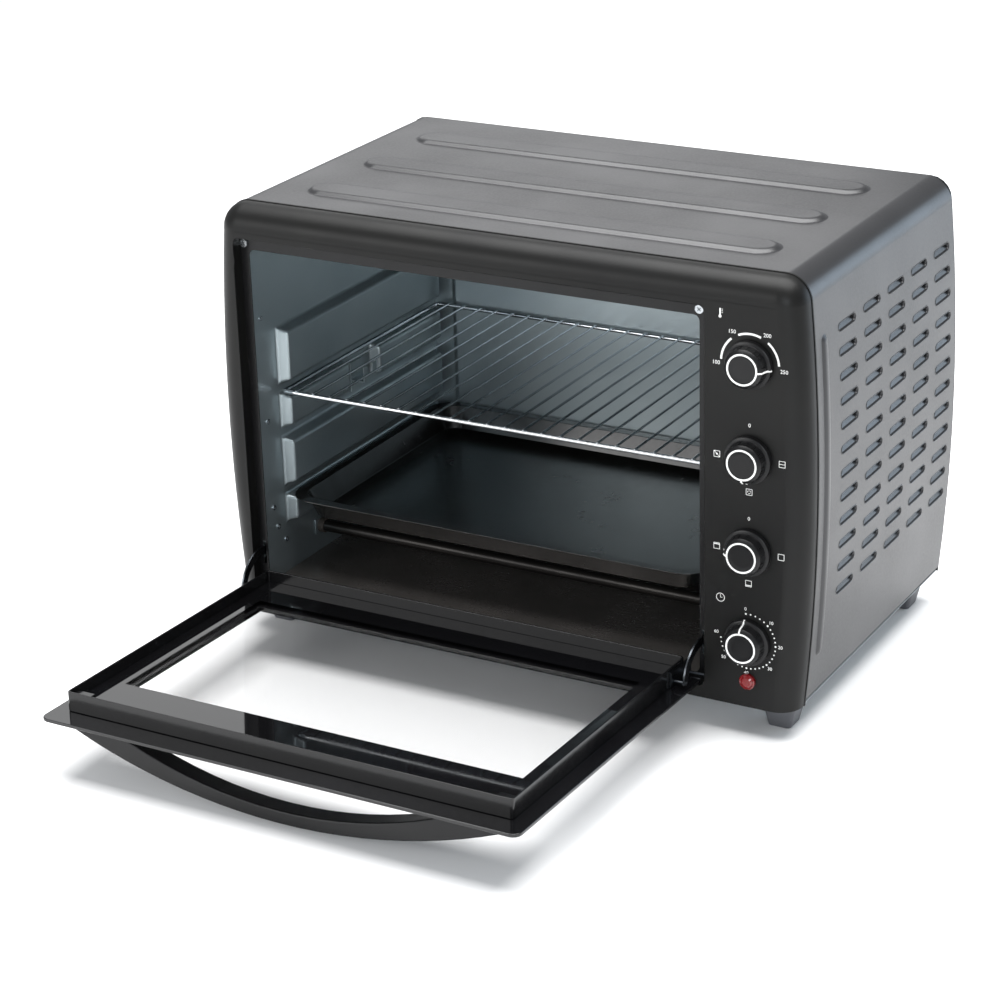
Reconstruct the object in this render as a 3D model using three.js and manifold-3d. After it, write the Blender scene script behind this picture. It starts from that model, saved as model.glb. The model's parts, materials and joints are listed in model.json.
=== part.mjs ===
// A 45-litre countertop rotisserie oven with its door open.
// Millimetres, +Z up, +X to the right of someone facing the oven, -Y towards them.
// The drawing frame has x = 0 on the middle plane of the casing, y = 0 half way along the
// top panel and z = 0 on the table. The finished group is then moved along Y so that the
// origin is the bottom centre of the whole object's box with the door open.

import * as THREE from 'three';
import { mergeVertices } from 'three/addons/utils/BufferGeometryUtils.js';
import Module from 'manifold-3d';

const wasm = await Module();
wasm.setup();

// ---------------------------------------------------------------- driving dimensions

const GAP = 0.3; // clearance between pieces that touch
const SHEET = 0.8; // thickness of the pressed sheet steel
const CUT = 5; // how far a cutter reaches past what it cuts

// casing
const WIDTH = 564; // across the widest level of the bulged sides
const HEIGHT = 400; // top panel above the table, without its ribs
const DEPTH = 304; // top panel, from the front seam to the rear edge
const FOOT_HEIGHT = 28;
const SIDE_BULGE = 10.14; // how far each side draws in from its widest level to the top
const BULGE_LEVEL = 210; // height of the widest level
const TOP_CORNER = 20; // bend between the top and the sides
const REAR_SHEET = 1;
const BASE_SHEET = 1;

// rear and base ventilation slots
const REAR_SLOT = { half: 40, radius: 2.5, rows: 6, pitch: 16, drop: 90, columns: [-120, 0, 120] };
const BASE_SLOT = { half: 30, radius: 3, columns: [-150, -50, 50, 150], rows: [-60, 60] };

// feet
const FOOT_INSET = 25; // casing's lower edge to the middle of a foot
const FOOT_FRONT = 14; // front seam to the middle of a front foot
const FOOT_REAR = 24; // rear edge to the middle of a rear foot
const FOOT_CORNER = 3;
const FOOT_SHOULDER = 0.55; // height of the foot's shoulder as a share of the foot
const FOOT_HALVES = [[10.2, 11], [14, 12], [17, 13]]; // at the floor, the shoulder and the base

// pressed ribs on the top, and the bead down each side
const RIB_LENGTH = 446.6;
const RIB_WIDTH = 36;
const RIB_RISE = 3;
const RIB_PITCH = 92.3;
const RIB_COUNT = 3;
const RIB_MIDDLE = -7.8;
const BEAD_WIDTH = 10;
const BEAD_RISE = 2;
const BEAD_BOTTOM = 67;
const BEAD_DROP = 53; // top panel to the bead's upper end
const BEAD_SETBACK = 17; // from the front seam to the bead's centre line

// louvres in both sides
const LOUVRE_LENGTH = 35;
const LOUVRE_HEIGHT = 6;
const LOUVRE_COLUMNS = 5;
const LOUVRE_COLUMN_PITCH = 52.7;
const LOUVRE_ROW_PITCH = 20.9;
const LOUVRE_TOP_MARGIN = 57; // top panel to the centre of the first row
const LOUVRE_LOWEST = 110;
const LOUVRE_MIDDLE = 17; // y of the middle column

// front frame and control strip
const FASCIA_DEPTH = 25;
const FASCIA_WALL = 2.5;
const SIDE_ROUNDING = 18;
const TOP_ROUNDING = 24;
const BOTTOM_ROUNDING = 6;
const FRONT_ROUNDING = 19; // the rounding's reach back from the front face
const CORNER_TIGHTENING = 6; // the top corners are this much tighter at the front face
const FRAME_SIDE = 25.6; // left edge of the casing to the door recess
const FRAME_TOP = 28.4;
const FRAME_BOTTOM = 10.5;
const CONTROL_STRIP = 90.2; // right edge of the casing to the door recess
const RECESS_DEPTH = 12;
const RECESS_CORNER = 6;

// cavity
const MOUTH_SIDE = 8.5; // door recess to cavity mouth, at the left
const MOUTH_SIDE_RIGHT = 9.4;
const MOUTH_TOP = 12.6;
const MOUTH_BOTTOM = 5.5;
const MOUTH_CORNER = 5;
const FLANGE_LAP = 3; // least width of the flange behind the front frame
const FLANGE_LAP_SIDE = 4;
const FLANGE_LAP_TOP = 5;
const SCREW_HOLE = 2.1;
const SCREW = { shank: 1.7, head: 3.6, crown: 3.2, edge: 1.4, height: 2, length: 8,
  left: 4.6, right: 0.6, rise: 5.6 }; // left, right and rise are the screws' places at the mouth
const CAVITY_BACK = 7; // back wall to the rear edge of the casing
const RUNNER_DEPTH = 11; // how far the pressed runners stand in from the side walls
const RUNNER_SLOPE = 3;
const RUNNER_FRONT = 12; // casing seam to the front end of the runners
const RUNNER_LEVELS = [[92, 118], [128, 173], [183, 215], [225, 277]];
const SPIT_LEVEL = 198;
const SPIT_Y = -4;
const SPIT_RECESS = 24; // half length of the break in the runner around the spit
const RUNNER_REAR = 6; // rear end of the runners to the back wall
const BACK_PANEL_RISE = 5;
const BACK_PANEL_MARGIN = 22;

// heating rods
const HEATER_RADIUS = 3.3;
const HEATER_COLLAR = { rise: 2.2, length: 7 };
const HEATER_TAIL = 12; // how far the rods reach behind the walls
const HEATER_OFFSET = 78; // middle of the casing to each rod
const LOWER_HEATER_LEVEL = 68;
const UPPER_HEATER_DROP = 19;

// shelf and tray
const SHELF_LEVEL = 220;
const WIRE = 3;
const RIM_WIRE = 5;
const WIRE_PITCH = 17.7;
const SHELF_SIDE_PLAY = 5; // side wall to the shelf's outer wire
const SHELF_FRONT = 2; // front end of the runners to the shelf's front wire
const SHELF_REAR_PLAY = 1.5; // shelf to the back wall's raised panel
const SHELF_CORNER = 5.5;
const TRAY_LEVEL = 121;
const TRAY_SIDE_PLAY = 7.2;
const TRAY_DEPTH = 20;
const TRAY_RIM = 9;
const TRAY_SLOPE = 8; // how much the tray's sides lean in
const TRAY_OVERHANG = 5; // tray's front rim beyond the front end of the runners
const TRAY_REAR_PLAY = 2;
const TRAY_SHEET = 1;
const TRAY_CORNER = 26;

// door
const DOOR_TILT = 1.8; // degrees that the far edge stands above level when open
const DOOR_PLAY = 1.5; // door glass to recess at the left; the right side has more
const DOOR_PLAY_RIGHT = 2.3;
const DOOR_PLAY_TOP = 2.6;
const HINGE_Y_SETBACK = 5.7; // fascia front to hinge axis
const HINGE_RISE = 7.6; // recess floor to hinge axis
const GLASS = 3;
const GLASS_DROP = 1.7; // hinge axis down to the glass's inner face
const GLASS_CORNER = 8;
const DOOR_FRAME_SIDE = 13.2; // outer glass edge to the inner frame, left
const DOOR_FRAME_RIGHT = 15;
const DOOR_FRAME_NEAR = 5.7;
const DOOR_FRAME_FAR = 20.9;
const DOOR_FRAME_HEIGHT = 15.8;
const DOOR_FRAME_WALL = 1.6;
const DOOR_FRAME_CORNER = 3;
const PANE_RECESS = 10;
const PANE_THICKNESS = 3.6;
const WINDOW_MARGIN_X = 20.5;
const WINDOW_MARGIN_S = 48.5;
const CLIP = { length: 16, width: 11, height: 6, notch: 5.5, floor: 2 };
const CLIP_PLAY = 1;

// handle, a bow that stands out of the door's outer face
const HANDLE_OVERHANG = 4.7; // door glass edge to the handle's end
const HANDLE_RISE = 46.8;
const HANDLE_GAP_RISE = 35;
const HANDLE_GAP_HALF = 160;
const HANDLE_NEAR = 32; // far edge of the glass to the near face of the handle
const HANDLE_DEPTH = 18;

// hinge hardware
const ARM_RADIUS = 30;
const ARM_WIDTH = 8;
const ARM_THICKNESS = 1.5;
const ARM_START = 5; // degrees about the hinge, from the open door upwards
const ARM_END = 107;
const ARM_INSET = 3.9; // mouth edge to the middle of the arm
const PIN_RADIUS = 1.3;
const ARM_SLOT = 1.6; // half width of the flange's slot for an arm
const ARM_SLOT_LOW = 16; // hinge axis to the slot's lower end
const PIN_REACH = 2; // hinge pins' reach into the front frame
const RIVET_RADIUS = 1.6;
const RIVET_ANGLE = 6.5; // degrees about the hinge; it stays in front of the flange
const STRAP_PLATE = 1.8; // hinge bracket on the side of the inner door frame
const STRAP_PLATE_LENGTH = 36;
const STRAP_PLATE_HEIGHT = 13; // above the hinge axis
const HEEL = 5; // height over the axis of the bracket's heel, which passes over the mouth's edge
const GUIDE_INNER = 2.4; // middle of the arm to the guide's side next to the cavity
const GUIDE_OUTER = 4;
const GUIDE_TOP = 4.5; // arm's top to the guide's top
const GUIDE_DEPTH = 7;
const GUIDE_HEIGHT = 17;

// controls
const KNOB_COUNT = 4;
const KNOB_X_MARGIN = 50; // right edge of the casing to the knobs' centre line
const TOP_KNOB_DROP = 71;
const BOTTOM_KNOB_LEVEL = 88;
const KNOB_RADIUS = 20;
const KNOB_HEIGHT = 17;
const KNOB_STAND_OFF = 0.8;
const SHAFT_RADIUS = 3;
const SHAFT_CLEARANCE = 0.3;
const PANEL_HOLE = 5;
const KNOB_BORE_DEPTH = 11;
const SHAFT_REACH = 8; // into the control behind the panel
const BUSHING = 5.5;
const BUSHING_REACH = 2;
const PLATE = { setback: 7, sheet: 1.2, fold: 9, left: 28, right: 20, below: 26, above: 24 };
const LAMP_LEVEL = 52;
const LAMP_RADIUS = 6;
const LAMP_RIM = 1;
const LAMP_HOLDER = 30; // panel's front to the lamp holder's rear end

// motors
const FAN_RADIUS = 38;
const GUARD_RADIUS = 50;
const GUARD_DEPTH = 16;
const FAN_Y = 0;
const FAN_CLEARANCE = 6; // fan guard to the roof and to the ends of the runner beside it
const BLADES = 8;
const BLADE_TWIST = 0.5;
const MOTOR_SIZE = 52;
const SOCKET_RADIUS = 7;
const SOCKET_PLAY = 1;
const SOCKET_REACH = 17; // how far the socket stands into the cavity
const SOCKET_SQUARE = 4; // half the side of the socket's square hole
const SOCKET_DEPTH = 14;
const SPINDLE = 4; // radius of the spit motor's spindle
const BRACKET = { half: 11, sheet: 1.2, reach: 16, shelf: 9, lip: 6, top: 8, foot: 20, notch: 4 };
const BRACKET_SCREW_DROP = 12;
const BRACKET_HOLE = 2.4;
const MOTOR_STAND_OFF = 8; // wall to the motors
const SPIT_MOTOR_DEPTH = 32;
const TAB = { y: 22, half: 3 }; // the spit motor's mounting tabs
const FAN_HOLE = 6;
const FAN_HUB = 7;
const FAN_BLADE = { width: 9, sheet: 1, wall: 8 }; // wall: blade's middle to the wall
const FAN_MOTOR = { boss: 12, edge: 26, radius: 28, chamfer: 4, depth: 34 };
const GUARD_LIP = 4; // the guard's rim beyond its radius
const GUARD_SLOTS = [14, 24, 34]; // radii of the guard's ring slots
const GUARD_SLOT_HALF = 3;
const BULB = { radius: 3, front: 30, length: 80, wall: 6, roof: 8 };

// mains inlet
const GLAND_RADIUS = 11;
const GLAND_NECK = 8;
const GLAND_BORE = 4;
const GLAND_CHAMFER = 1;
const GLAND_HEAD = 2.2;
const GLAND_TAIL = 6;
const TERMINALS = { left: 20, right: 12, back: 60, front: 40, top: 20 };
const GLAND_LEVEL = 70;
const INLET_MARGIN = 57; // right edge of the casing to the cable gland

// ---------------------------------------------------------------- derived places

const seamY = -DEPTH / 2;
const rearY = DEPTH / 2;
const frontY = seamY - FASCIA_DEPTH;
const bottom = FOOT_HEIGHT;
const recess = {
  left: -WIDTH / 2 + FRAME_SIDE,
  right: WIDTH / 2 - CONTROL_STRIP,
  low: bottom + FRAME_BOTTOM,
  high: HEIGHT - FRAME_TOP,
};
const mouth = {
  left: recess.left + MOUTH_SIDE,
  right: recess.right - MOUTH_SIDE_RIGHT,
  low: recess.low + MOUTH_BOTTOM,
  high: recess.high - MOUTH_TOP,
};
const flangeY = frontY + RECESS_DEPTH;
const wallFront = flangeY + SHEET + GAP;
const cavityBackY = rearY - CAVITY_BACK;
const fanZ = mouth.high - FAN_CLEARANCE - GUARD_RADIUS;
const hinge = { y: frontY + HINGE_Y_SETBACK, z: recess.low + HINGE_RISE };
const doorLeft = recess.left + DOOR_PLAY;
const doorRight = recess.right - DOOR_PLAY_RIGHT;
const doorLength = recess.high - DOOR_PLAY_TOP - hinge.z;
const panelX = WIDTH / 2 - KNOB_X_MARGIN;
const knobPitch = (HEIGHT - TOP_KNOB_DROP - BOTTOM_KNOB_LEVEL) / (KNOB_COUNT - 1);
const knobZ = (k) => HEIGHT - TOP_KNOB_DROP - k * knobPitch;
const arms = [mouth.left - ARM_INSET, mouth.right + ARM_INSET];
const sideRadius = (HEIGHT - BULGE_LEVEL) ** 2 / (2 * SIDE_BULGE);
const halfWidth = (z) => WIDTH / 2 - (z - BULGE_LEVEL) ** 2 / (2 * sideRadius);

// ---------------------------------------------------------------- shape helpers

// A closed three.js geometry as a manifold solid.
function toSolid(geometry) {
  const bare = geometry.index ? geometry.toNonIndexed() : geometry.clone();
  bare.deleteAttribute('normal');
  bare.deleteAttribute('uv');
  const merged = mergeVertices(bare, 1e-4);
  return new wasm.Manifold(new wasm.Mesh({
    numProp: 3,
    vertProperties: new Float32Array(merged.attributes.position.array),
    triVerts: new Uint32Array(merged.index.array),
  }));
}

function toGeometry(solid) {
  const mesh = solid.getMesh();
  const geometry = new THREE.BufferGeometry();
  geometry.setAttribute('position', new THREE.BufferAttribute(mesh.vertProperties, 3));
  geometry.setIndex(new THREE.BufferAttribute(mesh.triVerts, 1));
  geometry.computeVertexNormals();
  return geometry;
}

function box(x0, x1, y0, y1, z0, z1) {
  const geometry = new THREE.BoxGeometry(x1 - x0, y1 - y0, z1 - z0);
  return toSolid(geometry.translate((x0 + x1) / 2, (y0 + y1) / 2, (z0 + z1) / 2));
}

// A solid through a list of rings, each an equal number of [x, y, z], counter-clockwise
// when seen from the side that the rings advance to. The first and last rings are capped.
function loft(rings) {
  const count = rings[0].length;
  const positions = rings.flat(2);
  const index = [];
  for (let k = 0; k + 1 < rings.length; k++) {
    for (let i = 0; i < count; i++) {
      const a = k * count + i;
      const b = k * count + (i + 1) % count;
      index.push(a, b, b + count, a, b + count, a + count);
    }
  }
  const cap = (ring) => THREE.ShapeUtils.triangulateShape(
    ring.map(([x, y]) => new THREE.Vector2(x, y)), []);
  const last = (rings.length - 1) * count;
  for (const [a, b, c] of cap(rings[0])) index.push(a, c, b);
  for (const [a, b, c] of cap(rings[rings.length - 1])) index.push(last + a, last + b, last + c);
  const geometry = new THREE.BufferGeometry();
  geometry.setAttribute('position', new THREE.Float32BufferAttribute(positions, 3));
  geometry.setIndex(index);
  return geometry;
}

// Turns a geometry drawn in plan so that its z axis points along +X, or along -Y.
const alongX = (geometry) => geometry.applyMatrix4(new THREE.Matrix4().makeBasis(
  new THREE.Vector3(0, 1, 0), new THREE.Vector3(0, 0, 1), new THREE.Vector3(1, 0, 0)));
const facingFront = (geometry) => geometry.rotateX(Math.PI / 2);

const atHeight = (outline, z) => outline.map(([x, y]) => [x, y, z]);

function arc(cx, cy, radius, from, to, steps) {
  return Array.from({ length: steps + 1 }, (_, i) => {
    const angle = THREE.MathUtils.degToRad(from + (to - from) * i / steps);
    return [cx + radius * Math.cos(angle), cy + radius * Math.sin(angle)];
  });
}

function roundedRectangle(x0, x1, y0, y1, radius, steps = 4) {
  return [
    ...arc(x1 - radius, y0 + radius, radius, -90, 0, steps),
    ...arc(x1 - radius, y1 - radius, radius, 0, 90, steps),
    ...arc(x0 + radius, y1 - radius, radius, 90, 180, steps),
    ...arc(x0 + radius, y0 + radius, radius, 180, 270, steps),
  ];
}

const stadium = (x, y, half, radius, steps) => [
  ...arc(x + half - radius, y, radius, -90, 90, steps),
  ...arc(x - half + radius, y, radius, 90, 270, steps),
];

// A plate of an outline drawn in plan, between two heights.
const plate = (outline, z0, z1) => loft([atHeight(outline, z0), atHeight(outline, z1)]);

// A plate of an outline drawn from the front, between two y values.
const frontPlate = (outline, y0, y1) => toSolid(facingFront(plate(outline, -y1, -y0)));

// A round piece turned about an axis along -Y (towards the front), from [radius, -y] points.
function turnedToFront(profile, x, z, segments) {
  const points = profile.map(([radius, y]) => new THREE.Vector2(radius, y));
  const geometry = new THREE.LatheGeometry(points, segments);
  return toSolid(facingFront(geometry.rotateX(Math.PI / 2)).translate(x, 0, z));
}

// A round piece turned about an axis along +X, from [radius, x] points.
function turnedAlongX(profile, y, z, segments) {
  const points = profile.map(([radius, x]) => new THREE.Vector2(radius, x));
  const geometry = new THREE.LatheGeometry(points, segments).rotateX(Math.PI / 2);
  return toSolid(alongX(geometry).translate(0, y, z));
}

const pinAlongX = (x0, x1, y, z, radius, segments = 12) =>
  turnedAlongX([[0, x0], [radius, x0], [radius, x1], [0, x1]], y, z, segments);
const pinToFront = (y0, y1, x, z, radius, segments = 12) =>
  turnedToFront([[0, -y1], [radius, -y1], [radius, -y0], [0, -y0]], x, z, segments);

const union = (solids) => solids.reduce((sum, next) => sum.add(next));

// Each finish's colour, roughness and metalness.
const finishes = {
  steel: ['#9aa3a8', 0.35, 0.9],
  blackSteel: ['#2a2b2e', 0.45, 0.3],
  plastic: ['#1d1d20', 0.4, 0],
  aluminised: ['#8d989d', 0.4, 0.8],
  chrome: ['#d4d6d8', 0.15, 1],
  enamel: ['#121213', 0.25, 0],
  glass: ['#1a1c1e', 0.05, 0],
  rubber: ['#2c2d2f', 0.7, 0],
  ceramic: ['#d9d4c8', 0.7, 0],
  lampRed: ['#c01018', 0.15, 0],
  zinc: ['#b9bcbf', 0.35, 0.9],
  brass: ['#b08d57', 0.4, 0.9],
};

function piece(name, solid, finish) {
  const [color, roughness, metalness] = finishes[finish];
  const material = new THREE.MeshStandardMaterial({ color, roughness, metalness });
  const mesh = new THREE.Mesh(toGeometry(solid), material);
  mesh.name = name;
  return mesh;
}

// ---------------------------------------------------------------- casing

const louvreRows = Math.floor((HEIGHT - LOUVRE_TOP_MARGIN - LOUVRE_LOWEST) / LOUVRE_ROW_PITCH) + 1;
const louvreZ = (row) => HEIGHT - LOUVRE_TOP_MARGIN - row * LOUVRE_ROW_PITCH;

// Heights at which the bulged sides change facet: half way between louvre rows, so that
// each louvre is cut in one flat facet.
function sideLevels() {
  const top = HEIGHT - TOP_CORNER;
  const between = Array.from({ length: louvreRows + 1 },
    (_, row) => louvreZ(row) + LOUVRE_ROW_PITCH / 2).reverse();
  const lowest = between[0];
  return [bottom, bottom + (lowest - bottom) / 2, ...between.filter((z) => z < top - CUT), top];
}

// The casing seen from the front, counter-clockwise, pulled in at the sides, top and bottom.
function casingOutline(side, top, base, corner, levels = sideLevels()) {
  const crown = HEIGHT - TOP_CORNER;
  const right = levels.map((z) => [
    halfWidth(z) - side, Math.min(Math.max(z, bottom + base), HEIGHT - top - corner)]);
  const edge = halfWidth(crown) - side;
  const bend = arc(edge - corner, HEIGHT - top - corner, corner, 0, 90, 5).slice(1);
  const half = [...right, ...bend];
  return [...half, ...half.map(([x, z]) => [-x, z]).reverse()];
}

function outerCover() {
  const y0 = seamY + GAP / 2;
  const y1 = rearY - GAP / 2;
  const outer = frontPlate(casingOutline(0, 0, 0, TOP_CORNER), y0, y1);
  const hollow = frontPlate(casingOutline(SHEET, SHEET, -CUT, TOP_CORNER - SHEET),
    y0 - CUT, y1 + CUT);
  let cover = outer.subtract(hollow);
  const beads = frontPlate(casingOutline(-BEAD_RISE, 0, 0, TOP_CORNER),
    y0 + BEAD_SETBACK - BEAD_WIDTH / 2, y0 + BEAD_SETBACK + BEAD_WIDTH / 2)
    .subtract(frontPlate(casingOutline(SHEET / 2, SHEET / 2, -CUT, TOP_CORNER),
      y0, y0 + 2 * BEAD_SETBACK))
    .intersect(box(-WIDTH, WIDTH, seamY, rearY, BEAD_BOTTOM, HEIGHT - BEAD_DROP));
  cover = cover.add(beads);
  for (let k = 0; k < RIB_COUNT; k++) {
    const y = RIB_MIDDLE + (k - (RIB_COUNT - 1) / 2) * RIB_PITCH;
    const ring = (inset, z) => atHeight(
      stadium(0, y, RIB_LENGTH / 2 - inset, RIB_WIDTH / 2 - inset, 8), z);
    cover = cover.add(toSolid(loft([ring(0, HEIGHT - SHEET / 2), ring(0, HEIGHT),
      ring(RIB_RISE, HEIGHT + RIB_RISE)])));
    cover = cover.subtract(toSolid(loft([ring(SHEET, HEIGHT - 2 * SHEET),
      ring(SHEET, HEIGHT - SHEET), ring(RIB_RISE + SHEET, HEIGHT + RIB_RISE - SHEET)])));
  }
  const slots = [];
  for (let column = 0; column < LOUVRE_COLUMNS; column++) {
    const y = LOUVRE_MIDDLE + (column - (LOUVRE_COLUMNS - 1) / 2) * LOUVRE_COLUMN_PITCH;
    for (let row = 0; row < louvreRows; row++) {
      const outline = stadium(y, louvreZ(row), LOUVRE_LENGTH / 2, LOUVRE_HEIGHT / 2, 2);
      slots.push(toSolid(alongX(plate(outline, -WIDTH / 2 - CUT, WIDTH / 2 + CUT))));
    }
  }
  return piece('outer_cover', cover.subtract(union(slots)), 'blackSteel');
}

function rearCover() {
  const y0 = rearY + GAP / 2;
  const outline = casingOutline(0, 0, 0, TOP_CORNER);
  const cuts = [pinToFront(y0 - CUT, y0 + CUT, WIDTH / 2 - INLET_MARGIN, GLAND_LEVEL,
    GLAND_NECK + GAP, 16)];
  for (let row = 0; row < REAR_SLOT.rows; row++) {
    const z = HEIGHT - REAR_SLOT.drop - row * REAR_SLOT.pitch;
    for (const x of REAR_SLOT.columns) {
      cuts.push(frontPlate(stadium(x, z, REAR_SLOT.half, REAR_SLOT.radius, 2), y0 - CUT, y0 + CUT));
    }
  }
  return piece('rear_cover', frontPlate(outline, y0, y0 + REAR_SHEET).subtract(union(cuts)),
    'blackSteel');
}

function basePan() {
  const reach = halfWidth(bottom) - SHEET - 2 * GAP;
  const pan = box(-reach, reach, seamY + GAP, rearY - GAP, bottom, bottom + BASE_SHEET);
  const cuts = [];
  for (const x of BASE_SLOT.columns) {
    for (const y of BASE_SLOT.rows) {
      const outline = stadium(x, y, BASE_SLOT.half, BASE_SLOT.radius, 2);
      cuts.push(toSolid(plate(outline, bottom - CUT, bottom + CUT)));
    }
  }
  return piece('base_pan', pan.subtract(union(cuts)), 'steel');
}

function feet() {
  const footX = halfWidth(bottom) - FOOT_INSET;
  const levels = [0, FOOT_HEIGHT * FOOT_SHOULDER, FOOT_HEIGHT - GAP];
  const places = [['front', seamY + FOOT_FRONT], ['rear', rearY - FOOT_REAR]];
  const made = [];
  for (const [row, y] of places) {
    for (const [side, sign] of [['left', -1], ['right', 1]]) {
      const x = sign * footX;
      const rings = FOOT_HALVES.map(([halfX, halfY], i) => atHeight(
        roundedRectangle(x - halfX, x + halfX, y - halfY, y + halfY, FOOT_CORNER, 2), levels[i]));
      made.push(piece(`foot_${row}_${side}`, toSolid(loft(rings)), 'rubber'));
    }
  }
  return made;
}

// ---------------------------------------------------------------- front frame

// Heights at which the front frame's sides change facet.
const frameLevels = Array.from({ length: 11 },
  (_, i) => bottom + (HEIGHT - TOP_CORNER - bottom) * i / 10);

// The front frame's rounded block, shrunk all over by a wall thickness.
function frameBlock(wall, back, steps) {
  const turnY = frontY + FRONT_ROUNDING;
  const rings = [back, turnY - GAP / 2].map((y) =>
    atHeight(casingOutline(wall, wall, wall, TOP_CORNER - wall, frameLevels), -y));
  const reach = FRONT_ROUNDING - wall;
  for (let i = 1; i <= steps; i++) {
    const turn = Math.PI / 2 * i / steps;
    const pull = 1 - Math.cos(turn);
    const y = turnY - reach * Math.sin(turn);
    rings.push(atHeight(casingOutline(wall + pull * (SIDE_ROUNDING - wall),
      wall + pull * (TOP_ROUNDING - wall), wall + pull * (BOTTOM_ROUNDING - wall),
      TOP_CORNER - wall - pull * CORNER_TIGHTENING, frameLevels), -y));
  }
  return toSolid(facingFront(loft(rings)));
}

function frontFascia() {
  const opening = (grow) => roundedRectangle(recess.left - grow, recess.right + grow,
    recess.low - grow, recess.high + grow, RECESS_CORNER + grow, 3);
  const shell = frameBlock(0, seamY - GAP / 2, 5).subtract(frameBlock(FASCIA_WALL, seamY + CUT, 3));
  const through = frontPlate(opening(0), frontY - CUT, seamY + CUT);
  const returnWall = frontPlate(opening(FASCIA_WALL), frontY + FASCIA_WALL / 2, flangeY - GAP);
  let fascia = shell.add(returnWall).subtract(through);
  for (let k = 0; k < KNOB_COUNT; k++) {
    fascia = fascia.subtract(pinToFront(frontY - CUT, seamY, panelX, knobZ(k), PANEL_HOLE));
  }
  fascia = fascia.subtract(
    pinToFront(frontY - CUT, seamY, panelX, LAMP_LEVEL, LAMP_RADIUS + GAP));
  for (const x of [recess.left, recess.right]) {
    fascia = fascia.subtract(
      pinAlongX(x - CUT, x + CUT, hinge.y, hinge.z, PIN_RADIUS + 2 * GAP));
  }
  return piece('front_fascia', fascia, 'plastic');
}

// ---------------------------------------------------------------- cavity

function frontFlange() {
  const outline = roundedRectangle(recess.left - FLANGE_LAP_SIDE, recess.right + FLANGE_LAP_SIDE,
    recess.low - FLANGE_LAP, recess.high + FLANGE_LAP_TOP, RECESS_CORNER, 2);
  const hole = roundedRectangle(mouth.left, mouth.right, mouth.low, mouth.high, MOUTH_CORNER, 3);
  let flange = frontPlate(outline, flangeY, flangeY + SHEET)
    .subtract(frontPlate(hole, flangeY - CUT, flangeY + CUT));
  for (const x of arms) {
    flange = flange.subtract(box(x - ARM_SLOT, x + ARM_SLOT, flangeY - CUT, flangeY + CUT,
      hinge.z + ARM_SLOT_LOW, hinge.z + ARM_RADIUS + ARM_WIDTH));
  }
  for (const [x, z] of flangeScrewPlaces()) {
    flange = flange.subtract(pinToFront(flangeY - CUT, flangeY + CUT, x, z, SCREW_HOLE, 8));
  }
  return piece('cavity_front_flange', flange, 'blackSteel');
}

function flangeScrewPlaces() {
  const z = mouth.high + SCREW.rise;
  return [[mouth.left - SCREW.left, z], [mouth.right + SCREW.right, z]];
}

function flangeScrews() {
  return flangeScrewPlaces().map(([x, z], i) => {
    const head = -flangeY + GAP;
    const profile = [[0, head - SCREW.length], [SCREW.shank, head - SCREW.length],
      [SCREW.shank, head], [SCREW.head, head], [SCREW.crown, head + SCREW.edge],
      [0, head + SCREW.height]];
    return piece(`flange_screw_${i ? 'right' : 'left'}`, turnedToFront(profile, x, z, 12), 'zinc');
  });
}

// The outside and the hollow of a raised field pressed out of a side wall: [y0, y1, z0, z1]
// on the wall's face at x, rising by a depth towards sign.
function pressedField(x, sign, [y0, y1, z0, z1]) {
  const ring = (inset, level) => [[y0 + inset, z0 + inset], [y1 - inset, z0 + inset],
    [y1 - inset, z1 - inset], [y0 + inset, z1 - inset]].map(([y, z]) => [y, z, level]);
  const field = (back, depth, inset) => {
    const rings = [ring(inset, x - sign * back), ring(inset + RUNNER_SLOPE, x + sign * depth)];
    return toSolid(alongX(loft(sign > 0 ? rings : rings.reverse())));
  };
  return [field(SHEET / 2, RUNNER_DEPTH, 0), field(2 * SHEET, RUNNER_DEPTH - SHEET, SHEET)];
}

// The runners' fields, broken where something that needs room stands beside them.
function runnerFields(breaks) {
  const front = seamY + RUNNER_FRONT;
  const rear = cavityBackY - RUNNER_REAR;
  return RUNNER_LEVELS.flatMap(([low, high]) => {
    const gap = breaks.find(({ bottom, top }) => low < top && high > bottom);
    if (!gap) return [[front, rear, low, high]];
    return [[front, gap.y - gap.half, low, high], [gap.y + gap.half, rear, low, high]];
  });
}

function sideWall(name, face, sign, breaks, holes) {
  const outer = face - sign * SHEET;
  let wall = box(Math.min(face, outer), Math.max(face, outer), wallFront, cavityBackY - GAP,
    mouth.low - GAP - SHEET, mouth.high + GAP + SHEET);
  for (const limits of runnerFields(breaks)) {
    const [outside, hollow] = pressedField(face, sign, limits);
    wall = wall.add(outside).subtract(hollow);
  }
  return piece(name, wall.subtract(union(holes)), 'aluminised');
}

const heaterPlaces = () => [
  ['heater_lower_front', -HEATER_OFFSET, LOWER_HEATER_LEVEL],
  ['heater_lower_rear', HEATER_OFFSET, LOWER_HEATER_LEVEL],
  ['heater_upper_front', -HEATER_OFFSET, mouth.high - UPPER_HEATER_DROP],
  ['heater_upper_rear', HEATER_OFFSET, mouth.high - UPPER_HEATER_DROP],
];

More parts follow.
